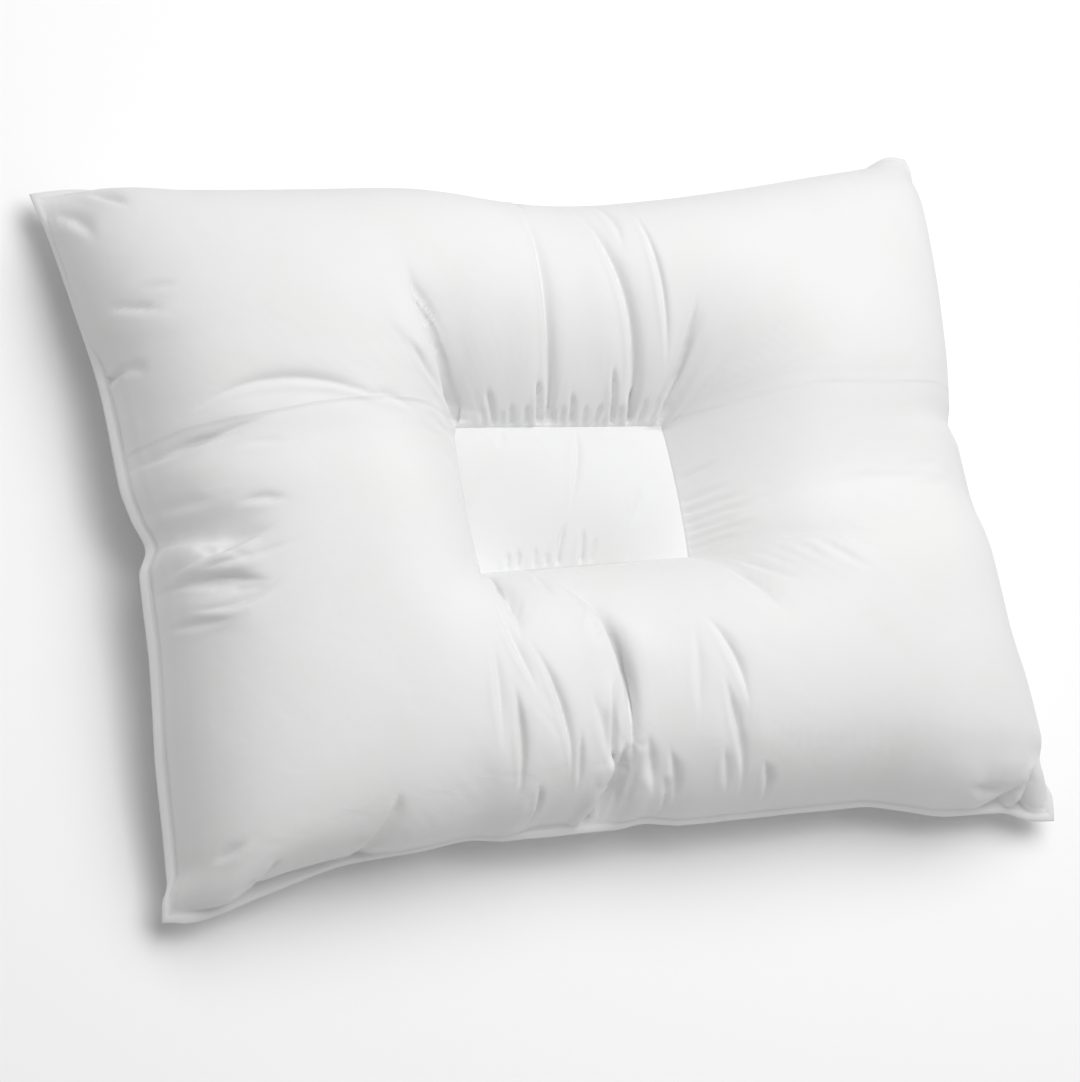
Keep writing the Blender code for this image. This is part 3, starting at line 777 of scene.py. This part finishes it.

# %% [markdown]
# Narrow creases
#
# These are the lines that the eye reads first: the thin dark gathers behind the panel, the long creases that
# run off it, the deep one at the front and the ripples in the dent of the left side. They go in after the
# simulation, because its points lie too far apart to hold a crease 3 mm wide. Every row was placed one by one
# and has sizes of its own, since no two creases of a real pillow are the same.

# %% Crease tables
CREASES_BACK = [
    Fold((-123, 156), (-111, 103), (-73, 50), 5.0, 2.2, 9, 2.0, True),
    Fold((-134, 102), (-116, 80), (-82, 60), 2.8, 1.7, 4, 1.2, False),
    Fold((-166, 60), (-150, 60), (-124, 50), 1.4, 1.8, 4, 0.6, False),
    Fold((-18, 200), (-23, 126), (-14, 54), 4.0, 1.6, 5.2, 2.0, True),
    Fold((18, 203), (34, 128), (45, 53), 4.0, 1.6, 5.2, 2.0, True),
    Fold((36, 206), (42, 182), (40, 152), 1.6, 1.8, 4.0, 0.8, False),
    Fold((60, 200), (61, 130), (66, 70), 3.0, 1.5, 3.0, 1.3, False),
    Fold((86, 124), (76, 84), (66, 47), 4.0, 1.5, 3.0, 1.4, True),
    Fold((-8, 214), (-14, 204), (-16, 190), 1.6, 1.8, 3.0, 0.8, False),
]
CREASES_FRONT = [
    Fold((-48, -46), (-26, -120), (-21, -202), 9.0, 2.0, 7, 3.4, False),
    Fold((-29, -132), (-35, -162), (-33, -204), 6.5, 1.9, 3.0, 1.8, True),
    Fold((-31, -178), (-38, -196), (-45, -215), 8.0, 2.2, 9, 4.0, True),
    Fold((72, -43), (114, -47), (192, -58), 1.6, 2.6, 9.0, 1.0, False),
    Fold((-90, -104), (-75, -148), (-63, -200), 4.0, 1.9, 4.5, 2.0, False),
    Fold((-106, -70), (-99, -112), (-88, -146), 3.4, 1.9, 4.5, 1.8, False),
    Fold((-106, -130), (-104, -168), (-101, -206), 4.2, 1.7, 3.6, 1.8, False),
    Fold((-114, -100), (-117, -141), (-116, -180), 2.6, 2.0, 4.5, 1.2, False),
    Fold((-91, -192), (-85, -206), (-90, -214), 3.6, 1.6, 3.0, 1.4, False),
    Fold((-52, -140), (-43, -168), (-38, -190), 1.8, 2.2, 5.0, 0.8, False),
    Fold((-60, -162), (-60, -184), (-57, -202), 2.8, 1.6, 2.8, 1.0, False),
    Fold((-10, -168), (-7, -190), (0, -208), 3.2, 2.2, 5.0, 1.2, False),
    Fold((4, -178), (11, -198), (17, -213), 3.2, 2.0, 4.0, 1.2, False),
    Fold((1, -194), (8, -205), (11, -216), 2.4, 1.8, 3.0, 1.0, False),
    Fold((38, -94), (52, -128), (60, -168), 3.0, 1.8, 4.5, 1.4, False),
    Fold((43, -136), (51, -177), (64, -216), 4.2, 1.9, 4.0, 1.9, False),
    Fold((34, -98), (27, -137), (25, -172), 1.2, 2.2, 5.0, 0.6, False),
    Fold((41, -182), (45, -198), (52, -212), 2.0, 1.9, 4.0, 0.8, False),
    Fold((70, -194), (78, -206), (83, -216), 3.0, 1.8, 3.6, 1.2, False),
    Fold((74, -54), (84, -80), (98, -106), 2.4, 1.8, 4.0, 1.0, False),
    Fold((84, -54), (98, -70), (118, -84), 2.0, 1.8, 4.0, 1.0, False),
    Fold((-52, -48), (-56, -62), (-58, -80), 1.8, 2.0, 5.0, 0.8, False),
    Fold((-78, -30), (-89, -70), (-94, -112), 4.0, 1.9, 7.0, 2.0, False),
    Fold((-186, -190), (-190, -204), (-200, -216), 3.0, 2.2, 6.0, 1.2, True),
    Fold((-300, -235), (-254, -231), (-186, -213), 4.5, 2.2, 13.0, 0.0, False),
    Fold((-262, -220), (-264, -226), (-270, -233), 2.4, 2.0, 4.0, 1.0, True),
    Fold((232, -220), (256, -225), (284, -221), 2.8, 1.6, 3.6, 1.4, False),
    Fold((256, -229), (278, -228), (296, -216), 3.2, 1.6, 3.6, 1.6, False),
    Fold((298, -208), (290, -222), (298, -240), 4.0, 2.0, 6.0, 2.0, True),
]
CREASES_LEFT = [
    Fold((-306, 44), (-278, 43), (-222, 56), 3.0, 1.8, 4, 1.2, False),
    Fold((-290, 56), (-220, 75), (-138, 48), 2.4, 1.9, 5, 0.9, False),
    Fold((-290, 42), (-276, 44), (-256, 46), 2.0, 1.6, 3, 0.8, False),
    Fold((-260, 36), (-240, 37), (-216, 34), 0.9, 1.8, 3, 0.4, False),
    Fold((-302, 14), (-288, 8), (-268, 6), 1.6, 2.2, 7, 0.6, False),
    Fold((-262, 0), (-246, 0), (-226, -4), 2.6, 1.8, 4, 0.9, False),
    Fold((-300, -8), (-284, -14), (-258, -20), 2.2, 2.4, 7, 0.8, False),
    Fold((-302, -34), (-272, -27), (-238, -18), 4.6, 1.9, 6, 1.6, False),
    Fold((-292, -32), (-264, -36), (-222, -28), 2.2, 1.8, 4, 1.0, False),
    Fold((-304, -40), (-278, -46), (-246, -54), 4.2, 2.0, 6, 1.4, False),
    Fold((-296, -56), (-272, -64), (-238, -52), 3.2, 1.9, 4, 1.0, False),
    Fold((-304, -62), (-290, -70), (-270, -72), 1.8, 1.9, 4, 0.8, False),
    Fold((-309, 147), (-298, 140), (-274, 130), 2.6, 1.8, 4, 1.0, False),
    Fold((-298, 154), (-282, 149), (-268, 148), 1.4, 1.8, 3, 0.5, False),
    Fold((-304, 112), (-299, 103), (-292, 97), 1.8, 1.8, 4, 0.8, False),
    Fold((-310, 108), (-306, 105), (-300, 103), 3.0, 2.0, 3, 0.8, False),
    Fold((-322, 226), (-314, 212), (-308, 190), 3.0, 2.4, 6, 1.0, False),
    Fold((-300, 236), (-294, 224), (-282, 208), 3.4, 2.2, 6, 1.2, False),
    Fold((-300, -214), (-290, -212), (-278, -206), 2.0, 2.0, 5, 0.8, False),
]
# %% Gathers at the panel's seams
Gather = namedtuple("Gather", "place length lean depth")
BACK_GATHERS = [
    Gather(-58, 11, -6, 1.2), Gather(-51, 22, -13, 2.8),
    Gather(-45, 9, -4, 1.4), Gather(-39, 13, -5, 2.2), Gather(-29, 12, -3, 2.2), Gather(-19, 27, -8, 5.0),
    Gather(-9, 9, -2, 1.6), Gather(-3, 12, -2, 1.8), Gather(4, 19, -4, 3.2), Gather(12, 12, 0, 2.0),
    Gather(20, 13, 3, 2.4), Gather(27, 14, 2, 2.0), Gather(34, 34, -7, 4.6), Gather(40, 12, -3, 1.8),
    Gather(46, 22, -5, 3.8), Gather(53, 15, 2, 2.2), Gather(60, 20, 7, 1.6),
]
RIGHT_GATHERS = [
    Gather(-38, 30, 2, 1.0), Gather(-32, 44, 3, 1.4), Gather(-26, 36, 3, 1.4), Gather(-20, 48, 4, 1.5),
    Gather(-13, 40, 4, 1.4), Gather(-5, 34, 4, 1.0), Gather(10, 30, 6, 0.8),
]
GATHER_NEAR = 1.5
GATHER_FAR = 2.2
GATHER_PUSH = 0.5


def gathers(rows, on_back):
    """Short folds that end on the panel's back or right seam, each leaning by its own amount."""
    made = []
    for row in rows:
        if on_back:
            foot = (row.place, back_edge(row.place))
            head = (row.place + row.lean, foot[1] + row.length)
        else:
            foot = (PANEL_RIGHT, row.place)
            head = (PANEL_RIGHT + row.length, row.place + row.lean)
        middle = ((foot[0] + head[0]) / 2, (foot[1] + head[1]) / 2)
        made.append(Fold(head, middle, foot, row.depth, GATHER_NEAR, GATHER_FAR, GATHER_PUSH, True))
    return made


# %% Press them in
CREASE_FREE_SEAM = 2.5


def creased(points, rows):
    """Slides the points across the folds, then presses them in along the normals of the cloth."""
    depth, slide = press_of(points[..., 0], points[..., 1], rows)
    clear = ease(outside_panel(points[..., 0], points[..., 1], 1, 1, 1, 1) / CREASE_FREE_SEAM)
    pressed = points - normals_of(points) * (depth * clear)[..., None]
    pressed[..., :2] += slide * clear[..., None]
    return pressed


all_creases = CREASES_BACK + CREASES_FRONT + CREASES_LEFT
all_creases = all_creases + gathers(BACK_GATHERS, True) + gathers(RIGHT_GATHERS, False)
filled_front = creased(filled_front, all_creases)
print(f"{len(all_creases)} creases and gathers pressed in")

# %% [markdown]
# Closing the cover
#
# Five loops of points make the doubled edge: one just outside the seam and one near the cut edge, above and
# below, and the cut edge itself between them. The strip hangs down a little and waves, because its cut edge
# is longer than the gathered seam. The underside has fewer points than the front, so two of the loops have
# half as many points as the one before, and triangles lead from one to the next without a hole.

# %% Strip sizes
STRIP_WAVE = 1.2
STRIP_WAVES = 7
WAVE_SEED = 5
WAVE_COUNTS = (12, 60)
WAVE_SIZES = (0.3, 1.0)
FULL_TURN = 6.28
STRIP_DROOP = 4.5
STRIP_MIDDLE = 0.4
STRIP_NEAR_EDGE = 0.92


# %% Piece builder
class Piece:
    """Collects points, pattern places and faces as whole arrays, then makes one closed mesh of them."""

    def __init__(self):
        self.points = []
        self.flat = []
        self.faces = []
        self.count = 0

    def add(self, points, flat=None):
        """Adds an array of points in mm, with their places on the flat cloth, and numbers them."""
        numbers = self.count + np.arange(points[..., 0].size).reshape(points.shape[:-1])
        self.points.append(points.reshape(-1, 3))
        self.flat.append((points[..., :2] if flat is None else flat).reshape(-1, 2))
        self.count += numbers.size
        return numbers

    def quads(self, quads):
        """Adds four-cornered faces, given by the numbers of their points."""
        self.faces.extend(quads.tolist())

    def ring(self, first, second):
        """Quads between two anticlockwise loops, facing up where the second lies outside the first."""
        self.quads(np.stack([first, second, np.roll(second, -1), np.roll(first, -1)], axis=-1))

    def halving_ring(self, fine, coarse):
        """Triangles from a loop to one inside it with half as many points, facing down."""
        here, middle, there = fine[::2], fine[1::2], np.roll(fine[::2], -1)
        after = np.roll(coarse, -1)
        for corners in ([here, coarse, middle], [middle, after, there], [middle, coarse, after]):
            self.faces.extend(np.stack(corners, axis=-1).tolist())

    def make(self, name):
        """Makes the object, smooth, with the flat places as its own UV map in metres."""
        points = np.concatenate(self.points)
        flat = np.concatenate(self.flat)
        used = np.unique(np.concatenate([np.ravel(face) for face in self.faces]))
        renumber = np.zeros(len(points), int)
        renumber[used] = np.arange(len(used))
        faces = [renumber[face].tolist() for face in self.faces]
        mesh = bpy.data.meshes.new(name)
        mesh.from_pydata((points[used] * MM).tolist(), [], faces)
        corners = np.empty(len(mesh.loops), np.int32)
        mesh.loops.foreach_get("vertex_index", corners)
        layer = mesh.uv_layers.new(name="flat_cloth")
        layer.data.foreach_set("uv", (flat[used] * MM)[corners].astype(np.float32).ravel())
        mesh.shade_smooth()
        made = bpy.data.objects.new(name, mesh)
        bpy.context.scene.collection.objects.link(made)
        mesh.calc_loop_triangles()
        print(f"{name}: {len(mesh.vertices)} points, {len(mesh.loop_triangles)} triangles")
        return made


# %% Flat places of the cloth
def arc_places(points):
    """Flat place of each point: lengths added up along rows and columns from the middle lines."""
    step_x = np.linalg.norm(np.diff(points, axis=1), axis=-1)
    step_y = np.linalg.norm(np.diff(points, axis=0), axis=-1)
    along_x = np.concatenate([np.zeros((points.shape[0], 1)), np.cumsum(step_x, axis=1)], axis=1)
    along_y = np.concatenate([np.zeros((1, points.shape[1])), np.cumsum(step_y, axis=0)], axis=0)
    along_x -= along_x[:, points.shape[1] // 2][:, None]
    along_y -= along_y[points.shape[0] // 2][None, :]
    return np.stack([along_x, along_y], axis=-1)


# %% Waves of the cut edge
waves = np.random.default_rng(WAVE_SEED)
u, v, x, y, seam_z = plan_grid(1)
tip = np.stack(spread(u, v, 0.0), axis=-1)
seam_ring = rim(np.stack([x, y, seam_z], axis=-1))
tip_ring = rim(tip)
round_places = np.linspace(0, 2 * np.pi, len(tip_ring), endpoint=False)
wave = np.zeros(len(tip_ring))
for turn in range(STRIP_WAVES):
    count = waves.integers(*WAVE_COUNTS)
    wave += waves.uniform(*WAVE_SIZES) * np.sin(count * round_places + waves.uniform(0, FULL_TURN))
wave *= STRIP_WAVE / np.abs(wave).max()

# %% Cover mesh
cover = Piece()
front_numbers = cover.add(filled_front, arc_places(filled_front))
cells = grid_quads(front_numbers).reshape(front_numbers.shape[0] - 1, front_numbers.shape[1] - 1, 4)
keep = np.ones(cells.shape[:2], bool)
keep[panel_rows[0]:panel_rows[1], panel_columns[0]:panel_columns[1]] = False
cover.quads(cells[keep])


def strip_ring(share, lift):
    """Loop on the strip, a share of the way from the seam to the cut edge, lifted off its middle plane."""
    points = seam_ring + (tip_ring - seam_ring) * share
    points[:, 2] += lift + (wave - STRIP_DROOP) * share
    return cover.add(points)


half_strip = STRIP_THICKNESS / 2
upper_middle = strip_ring(STRIP_MIDDLE, half_strip)
upper_edge = strip_ring(STRIP_NEAR_EDGE, half_strip)
cut_edge = strip_ring(1.0, 0.0)
lower_edge = strip_ring(STRIP_NEAR_EDGE, -half_strip)
lower_middle = strip_ring(STRIP_MIDDLE, -half_strip)[::2]
underside_numbers = cover.add(filled_underside)
cover.ring(rim(front_numbers), upper_middle)
cover.ring(upper_middle, upper_edge)
cover.ring(upper_edge, cut_edge)
cover.ring(cut_edge, lower_edge)
cover.halving_ring(lower_edge, lower_middle)
cover.halving_ring(lower_middle, rim(underside_numbers))
cover.quads(grid_quads(underside_numbers)[:, ::-1])

# %% [markdown]
# The pocket under the panel
#
# The cover has a hole where the panel is sewn in. A short wall and a floor close it below, out of sight, so
# that the cover is one closed skin and can be measured as a volume.

# %% Pocket for the panel
rows = slice(panel_rows[0], panel_rows[1] + 1)
columns = slice(panel_columns[0], panel_columns[1] + 1)
floor_points = filled_front[rows, columns].copy()
floor_points[..., 0] = x[rows, columns]
floor_points[..., 1] = y[rows, columns]
floor_points[..., 2] = POCKET_FLOOR_Z
pocket_numbers = cover.add(floor_points[::2, ::2])
wall = rim(floor_points).copy()
wall[:, 2] = (PANEL_SEAM_Z + POCKET_FLOOR_Z) / 2
wall_numbers = cover.add(wall)
cover.ring(wall_numbers, rim(front_numbers[rows, columns]))
cover.halving_ring(wall_numbers, rim(pocket_numbers))
cover.quads(grid_quads(pocket_numbers))
pillow_cover = cover.make("pillow_cover")

# %% [markdown]
# The inset panel
#
# The panel is a low pad of its own, sewn into the bottom of the recess. It could be left as part of the
# cover, but then its seam would be only a painted line. Here its top comes from the same sheet as the cover,
# refined once more, so that both meet along the very same seam. Its rim laps half a millimetre over the
# cover, as a raised seam does, and its sides go down into the pocket. One long crease crosses it, and short
# gathers stand along its front seam.

# %% Panel mesh
PANEL_CREASES = [
    Fold((9, 56), (-4, 22), (-17, -14), 1.8, 1.8, 4, 1.0, False),
    Fold((-46, 56), (-50, 46), (-54, 36), 0.8, 2.0, 4, 0.3, False),
    Fold((38, 10), (36, -8), (26, -24), 1.2, 2.0, 4, 0.6, False),
    Fold((-17, -14), (-24, -28), (-26, -44), 1.8, 1.6, 2.6, 0.8, True),
    Fold((-6, -18), (-8, -30), (-9, -44), 1.6, 1.6, 2.4, 0.6, True),
    Fold((4, -24), (0, -34), (-2, -44), 1.0, 1.6, 2.4, 0.4, True),
    Fold((-52, -28), (-54, -36), (-55, -44), 1.6, 1.6, 2.4, 0.6, True),
    Fold((-60, -30), (-61, -36), (-62, -44), 1.2, 1.6, 2.4, 0.4, True),
    Fold((-41, -28), (-42, -36), (-43, -44), 1.2, 1.6, 2.4, 0.4, True),
    Fold((-34, -32), (-34, -38), (-35, -44), 0.9, 1.6, 2.4, 0.4, True),
]
PANEL_LAP = 0.5
PANEL_LIFT = 0.4
PANEL_CREASE_FREE = 0.08
top = refine(filled_front[rows, columns])
middle_x = (PANEL_LEFT + PANEL_RIGHT) / 2
middle_y = (PANEL_FRONT + PANEL_BACK) / 2
lap_x = 2 * PANEL_LAP / (PANEL_RIGHT - PANEL_LEFT)
lap_y = 2 * PANEL_LAP / (PANEL_BACK - PANEL_FRONT)
top[..., 0] = middle_x + (top[..., 0] - middle_x) * (1 + lap_x)
top[..., 1] = middle_y + (top[..., 1] - middle_y) * (1 + lap_y)
top[..., 2] += PANEL_LIFT
depth, slide = press_of(top[..., 0], top[..., 1], PANEL_CREASES)
across, along = panel_places(top[..., 0], top[..., 1])
inside = ease(np.minimum(1 - np.abs(across), 1 - np.abs(along)) / PANEL_CREASE_FREE)
top = top - normals_of(top) * (depth * inside)[..., None]
top[..., :2] += slide * inside[..., None]
panel = Piece()
top_numbers = panel.add(top, arc_places(top))
panel.quads(grid_quads(top_numbers))
base_points = top.copy()
base_points[..., 0] = middle_x + (top[..., 0] - middle_x) * (1 - 2 * lap_x)
base_points[..., 1] = middle_y + (top[..., 1] - middle_y) * (1 - 2 * lap_y)
base_points[..., 2] = POCKET_FLOOR_Z + SEAM_GAP
base_ring = panel.add(rim(base_points))
base_numbers = panel.add(base_points[::2, ::2])
panel.ring(rim(top_numbers), base_ring)
panel.halving_ring(base_ring, rim(base_numbers))
panel.quads(grid_quads(base_numbers)[:, ::-1])
pillow_panel = panel.make("pillow_panel")

# %% [markdown]
# White cotton
#
# Up close the cover is a fine plain weave, about twenty-two threads to the centimetre, and here and there a
# thread is thicker. From an arm's length the threads merge, and soft crinkles show instead, left by folding
# and washing. The white isn't one white either. Each of these effects is a node group with its own inputs, so
# cover and panel share it with different values. All three read the flat places of the cloth, so that threads
# run as they would in the cut cloth and keep their size on any part of it.

# %% Node group builder
class Group:
    """Builds one shader node group: named sockets in and out, and short calls for the nodes between them."""

    def __init__(self, name, inputs, outputs):
        self.tree = bpy.data.node_groups.new(name, "ShaderNodeTree")
        for label, kind, value in inputs:
            socket = self.tree.interface.new_socket(name=label, in_out="INPUT", socket_type=kind)
            if value is not None:
                socket.default_value = value
        for label, kind in outputs:
            self.tree.interface.new_socket(name=label, in_out="OUTPUT", socket_type=kind)
        self.given = self.tree.nodes.new("NodeGroupInput").outputs
        self.wanted = self.tree.nodes.new("NodeGroupOutput").inputs

    def node(self, kind, links, **settings):
        """A node with its settings; `links` gives an input's name or number a socket or a plain value."""
        made = self.tree.nodes.new(kind)
        for label, value in settings.items():
            setattr(made, label, value)
        for label, source in links.items():
            if isinstance(source, bpy.types.NodeSocket):
                self.tree.links.new(source, made.inputs[label])
            else:
                made.inputs[label].default_value = source
        return made

    def math(self, operation, first, second=0.0):
        """One calculation on two sockets or numbers."""
        return self.node("ShaderNodeMath", {0: first, 1: second}, operation=operation).outputs[0]

    def noise(self, vector, scale, detail, distortion=0.0):
        """Soft random values round a half."""
        links = {"Vector": vector, "Scale": scale, "Detail": detail, "Distortion": distortion}
        return self.node("ShaderNodeTexNoise", links).outputs["Fac"]

    def stretched(self, vector, factors):
        """A vector times three plain numbers."""
        return self.node("ShaderNodeVectorMath", {0: vector, 1: factors}, operation="MULTIPLY").outputs[0]

    def give(self, label, socket):
        """Links a socket to one of the group's outputs."""
        self.tree.links.new(socket, self.wanted[label])


# %% Weave group
HALF_TURN = 3.1416
SLUB_LONG = 30.0
SLUB_NARROW = 1500.0


def weave_group():
    """Half the product of two sines goes over and under like threads; stretched noise thickens some."""
    group = Group(
        "plain_weave",
        [("Flat", "NodeSocketVector", None), ("Threads per metre", "NodeSocketFloat", 2200.0),
         ("Slub", "NodeSocketFloat", 0.4)],
        [("Height", "NodeSocketFloat")],
    )
    flat = group.given["Flat"]
    place = group.node("ShaderNodeSeparateXYZ", {0: flat})
    turns = group.math("MULTIPLY", group.given["Threads per metre"], HALF_TURN)
    warp = group.math("SINE", group.math("MULTIPLY", place.outputs["X"], turns))
    weft = group.math("SINE", group.math("MULTIPLY", place.outputs["Y"], turns))
    over = group.math("MULTIPLY", group.math("MULTIPLY", warp, weft), 0.5)
    along = group.noise(group.stretched(flat, (SLUB_LONG, SLUB_NARROW, 1.0)), 1.0, 1.0)
    across = group.noise(group.stretched(flat, (SLUB_NARROW, SLUB_LONG, 1.0)), 1.0, 1.0)
    slub = group.math("MULTIPLY", group.math("ADD", along, across), group.given["Slub"])
    group.give("Height", group.math("ADD", over, slub))
    return group.tree


# %% Crinkle group
FINE_CRINKLE_SCALE = 3.2
FINE_CRINKLE_SHARE = 0.33


def crinkle_group():
    """A wide noise, less sharp creases where it passes a half, plus a third of a finer noise."""
    group = Group(
        "soft_crinkle",
        [("Flat", "NodeSocketVector", None), ("Size", "NodeSocketFloat", 0.03),
         ("Sharpness", "NodeSocketFloat", 0.5)],
        [("Height", "NodeSocketFloat")],
    )
    scale = group.math("DIVIDE", 1.0, group.given["Size"])
    wide = group.noise(group.given["Flat"], scale, 2.0, 0.5)
    fold = group.math("ABSOLUTE", group.math("SUBTRACT", wide, 0.5))
    sharp = group.math("MULTIPLY", fold, group.given["Sharpness"])
    fine = group.noise(group.given["Flat"], group.math("MULTIPLY", scale, FINE_CRINKLE_SCALE), 2.0)
    soft = group.math("ADD", wide, group.math("MULTIPLY", fine, FINE_CRINKLE_SHARE))
    group.give("Height", group.math("SUBTRACT", soft, sharp))
    return group.tree


# %% Tone group
TONE_RANGE = (0.35, 0.65)


def tone_group():
    """Two whites mixed by a slow noise, which is also given out as a mask for the roughness."""
    group = Group(
        "uneven_white",
        [("Flat", "NodeSocketVector", None), ("White", "NodeSocketColor", (0.8, 0.8, 0.8, 1.0)),
         ("Off white", "NodeSocketColor", (0.77, 0.77, 0.76, 1.0)), ("Size", "NodeSocketFloat", 0.08)],
        [("Color", "NodeSocketColor"), ("Uneven", "NodeSocketFloat")],
    )
    scale = group.math("DIVIDE", 1.0, group.given["Size"])
    slow = group.noise(group.given["Flat"], scale, 3.0, 0.3)
    range_links = {"Value": slow, "From Min": TONE_RANGE[0], "From Max": TONE_RANGE[1]}
    uneven = group.node("ShaderNodeMapRange", range_links).outputs["Result"]
    mixed = group.node("ShaderNodeMix", {0: uneven}, data_type="RGBA")
    group.tree.links.new(group.given["White"], mixed.inputs[6])
    group.tree.links.new(group.given["Off white"], mixed.inputs[7])
    group.give("Color", mixed.outputs[2])
    group.give("Uneven", uneven)
    return group.tree


weave, crinkle, tone = weave_group(), crinkle_group(), tone_group()
print("node groups:", weave.name, crinkle.name, tone.name)

# %% [markdown]
# Cover cloth and panel cloth
#
# The panel is pulled flat over its pad, so it shows fewer crinkles. Its two whites are also a trace lower
# than the cover's: painted shade, because it lies square to the lamp and would stand out from the slopes
# round it.
# Both cloths are matt: roughness goes from about 0.8 to 0.9 with the unevenness. Sheen, the glow of short
# fibres at grazing angles, is a plain number on the shader.

# %% Materials
COTTON_ROUGHNESS = (0.78, 0.9)
SHEEN_ROUGHNESS = 0.4
SPECULAR_LEVEL = 0.25
Cotton = namedtuple("Cotton", "name white off_white crinkle_size crinkle_mm sharpness weave_mm sheen")
COTTONS = [
    Cotton("white_cotton", (0.78, 0.78, 0.785), (0.765, 0.765, 0.76), 0.04, 0.5, 0.4, 0.05, 0.15),
    # The panel row's whites are painted shade: the same cotton, a trace darker than the cover's.
    Cotton("white_cotton_panel_painted_shade", (0.75, 0.758, 0.753), (0.735, 0.742, 0.734), 0.05, 0.4, 0.3, 0.05, 0.15),
]


def cotton_material(row):
    """Tone into colour and roughness, crinkle and weave as two bumps one after the other."""
    made = plain_material(row.name, row.white, COTTON_ROUGHNESS[1])
    nodes = made.node_tree.nodes
    links = made.node_tree.links
    shader = nodes["Principled BSDF"]
    shader.inputs["Sheen Weight"].default_value = row.sheen
    shader.inputs["Sheen Roughness"].default_value = SHEEN_ROUGHNESS
    shader.inputs["Specular IOR Level"].default_value = SPECULAR_LEVEL
    flat = nodes.new("ShaderNodeUVMap")
    flat.uv_map = "flat_cloth"
    used = {}
    for label, tree in (("tone", tone), ("crinkle", crinkle), ("weave", weave)):
        used[label] = nodes.new("ShaderNodeGroup")
        used[label].node_tree = tree
        links.new(flat.outputs["UV"], used[label].inputs["Flat"])
    used["tone"].inputs["White"].default_value = (*row.white, 1.0)
    used["tone"].inputs["Off white"].default_value = (*row.off_white, 1.0)
    used["crinkle"].inputs["Size"].default_value = row.crinkle_size
    used["crinkle"].inputs["Sharpness"].default_value = row.sharpness
    links.new(used["tone"].outputs["Color"], shader.inputs["Base Color"])
    rough = nodes.new("ShaderNodeMapRange")
    rough.inputs["To Min"].default_value = COTTON_ROUGHNESS[0]
    rough.inputs["To Max"].default_value = COTTON_ROUGHNESS[1]
    links.new(used["tone"].outputs["Uneven"], rough.inputs["Value"])
    links.new(rough.outputs["Result"], shader.inputs["Roughness"])
    normal = None
    for label, height_mm in (("crinkle", row.crinkle_mm), ("weave", row.weave_mm)):
        bump = nodes.new("ShaderNodeBump")
        bump.inputs["Distance"].default_value = height_mm * MM
        links.new(used[label].outputs["Height"], bump.inputs["Height"])
        if normal is not None:
            links.new(normal, bump.inputs["Normal"])
        normal = bump.outputs["Normal"]
    links.new(normal, shader.inputs["Normal"])
    return made


for piece, row in zip((pillow_cover, pillow_panel), COTTONS):
    piece.data.materials.append(cotton_material(row))
    print(f"{piece.name}: {row.name}, crinkles {row.crinkle_mm} mm high")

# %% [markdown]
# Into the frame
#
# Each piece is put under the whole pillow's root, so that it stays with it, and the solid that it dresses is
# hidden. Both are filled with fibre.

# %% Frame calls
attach(pillow_cover, "root")
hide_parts("filled_cover")
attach(pillow_panel, "root")
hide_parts("centre_panel")
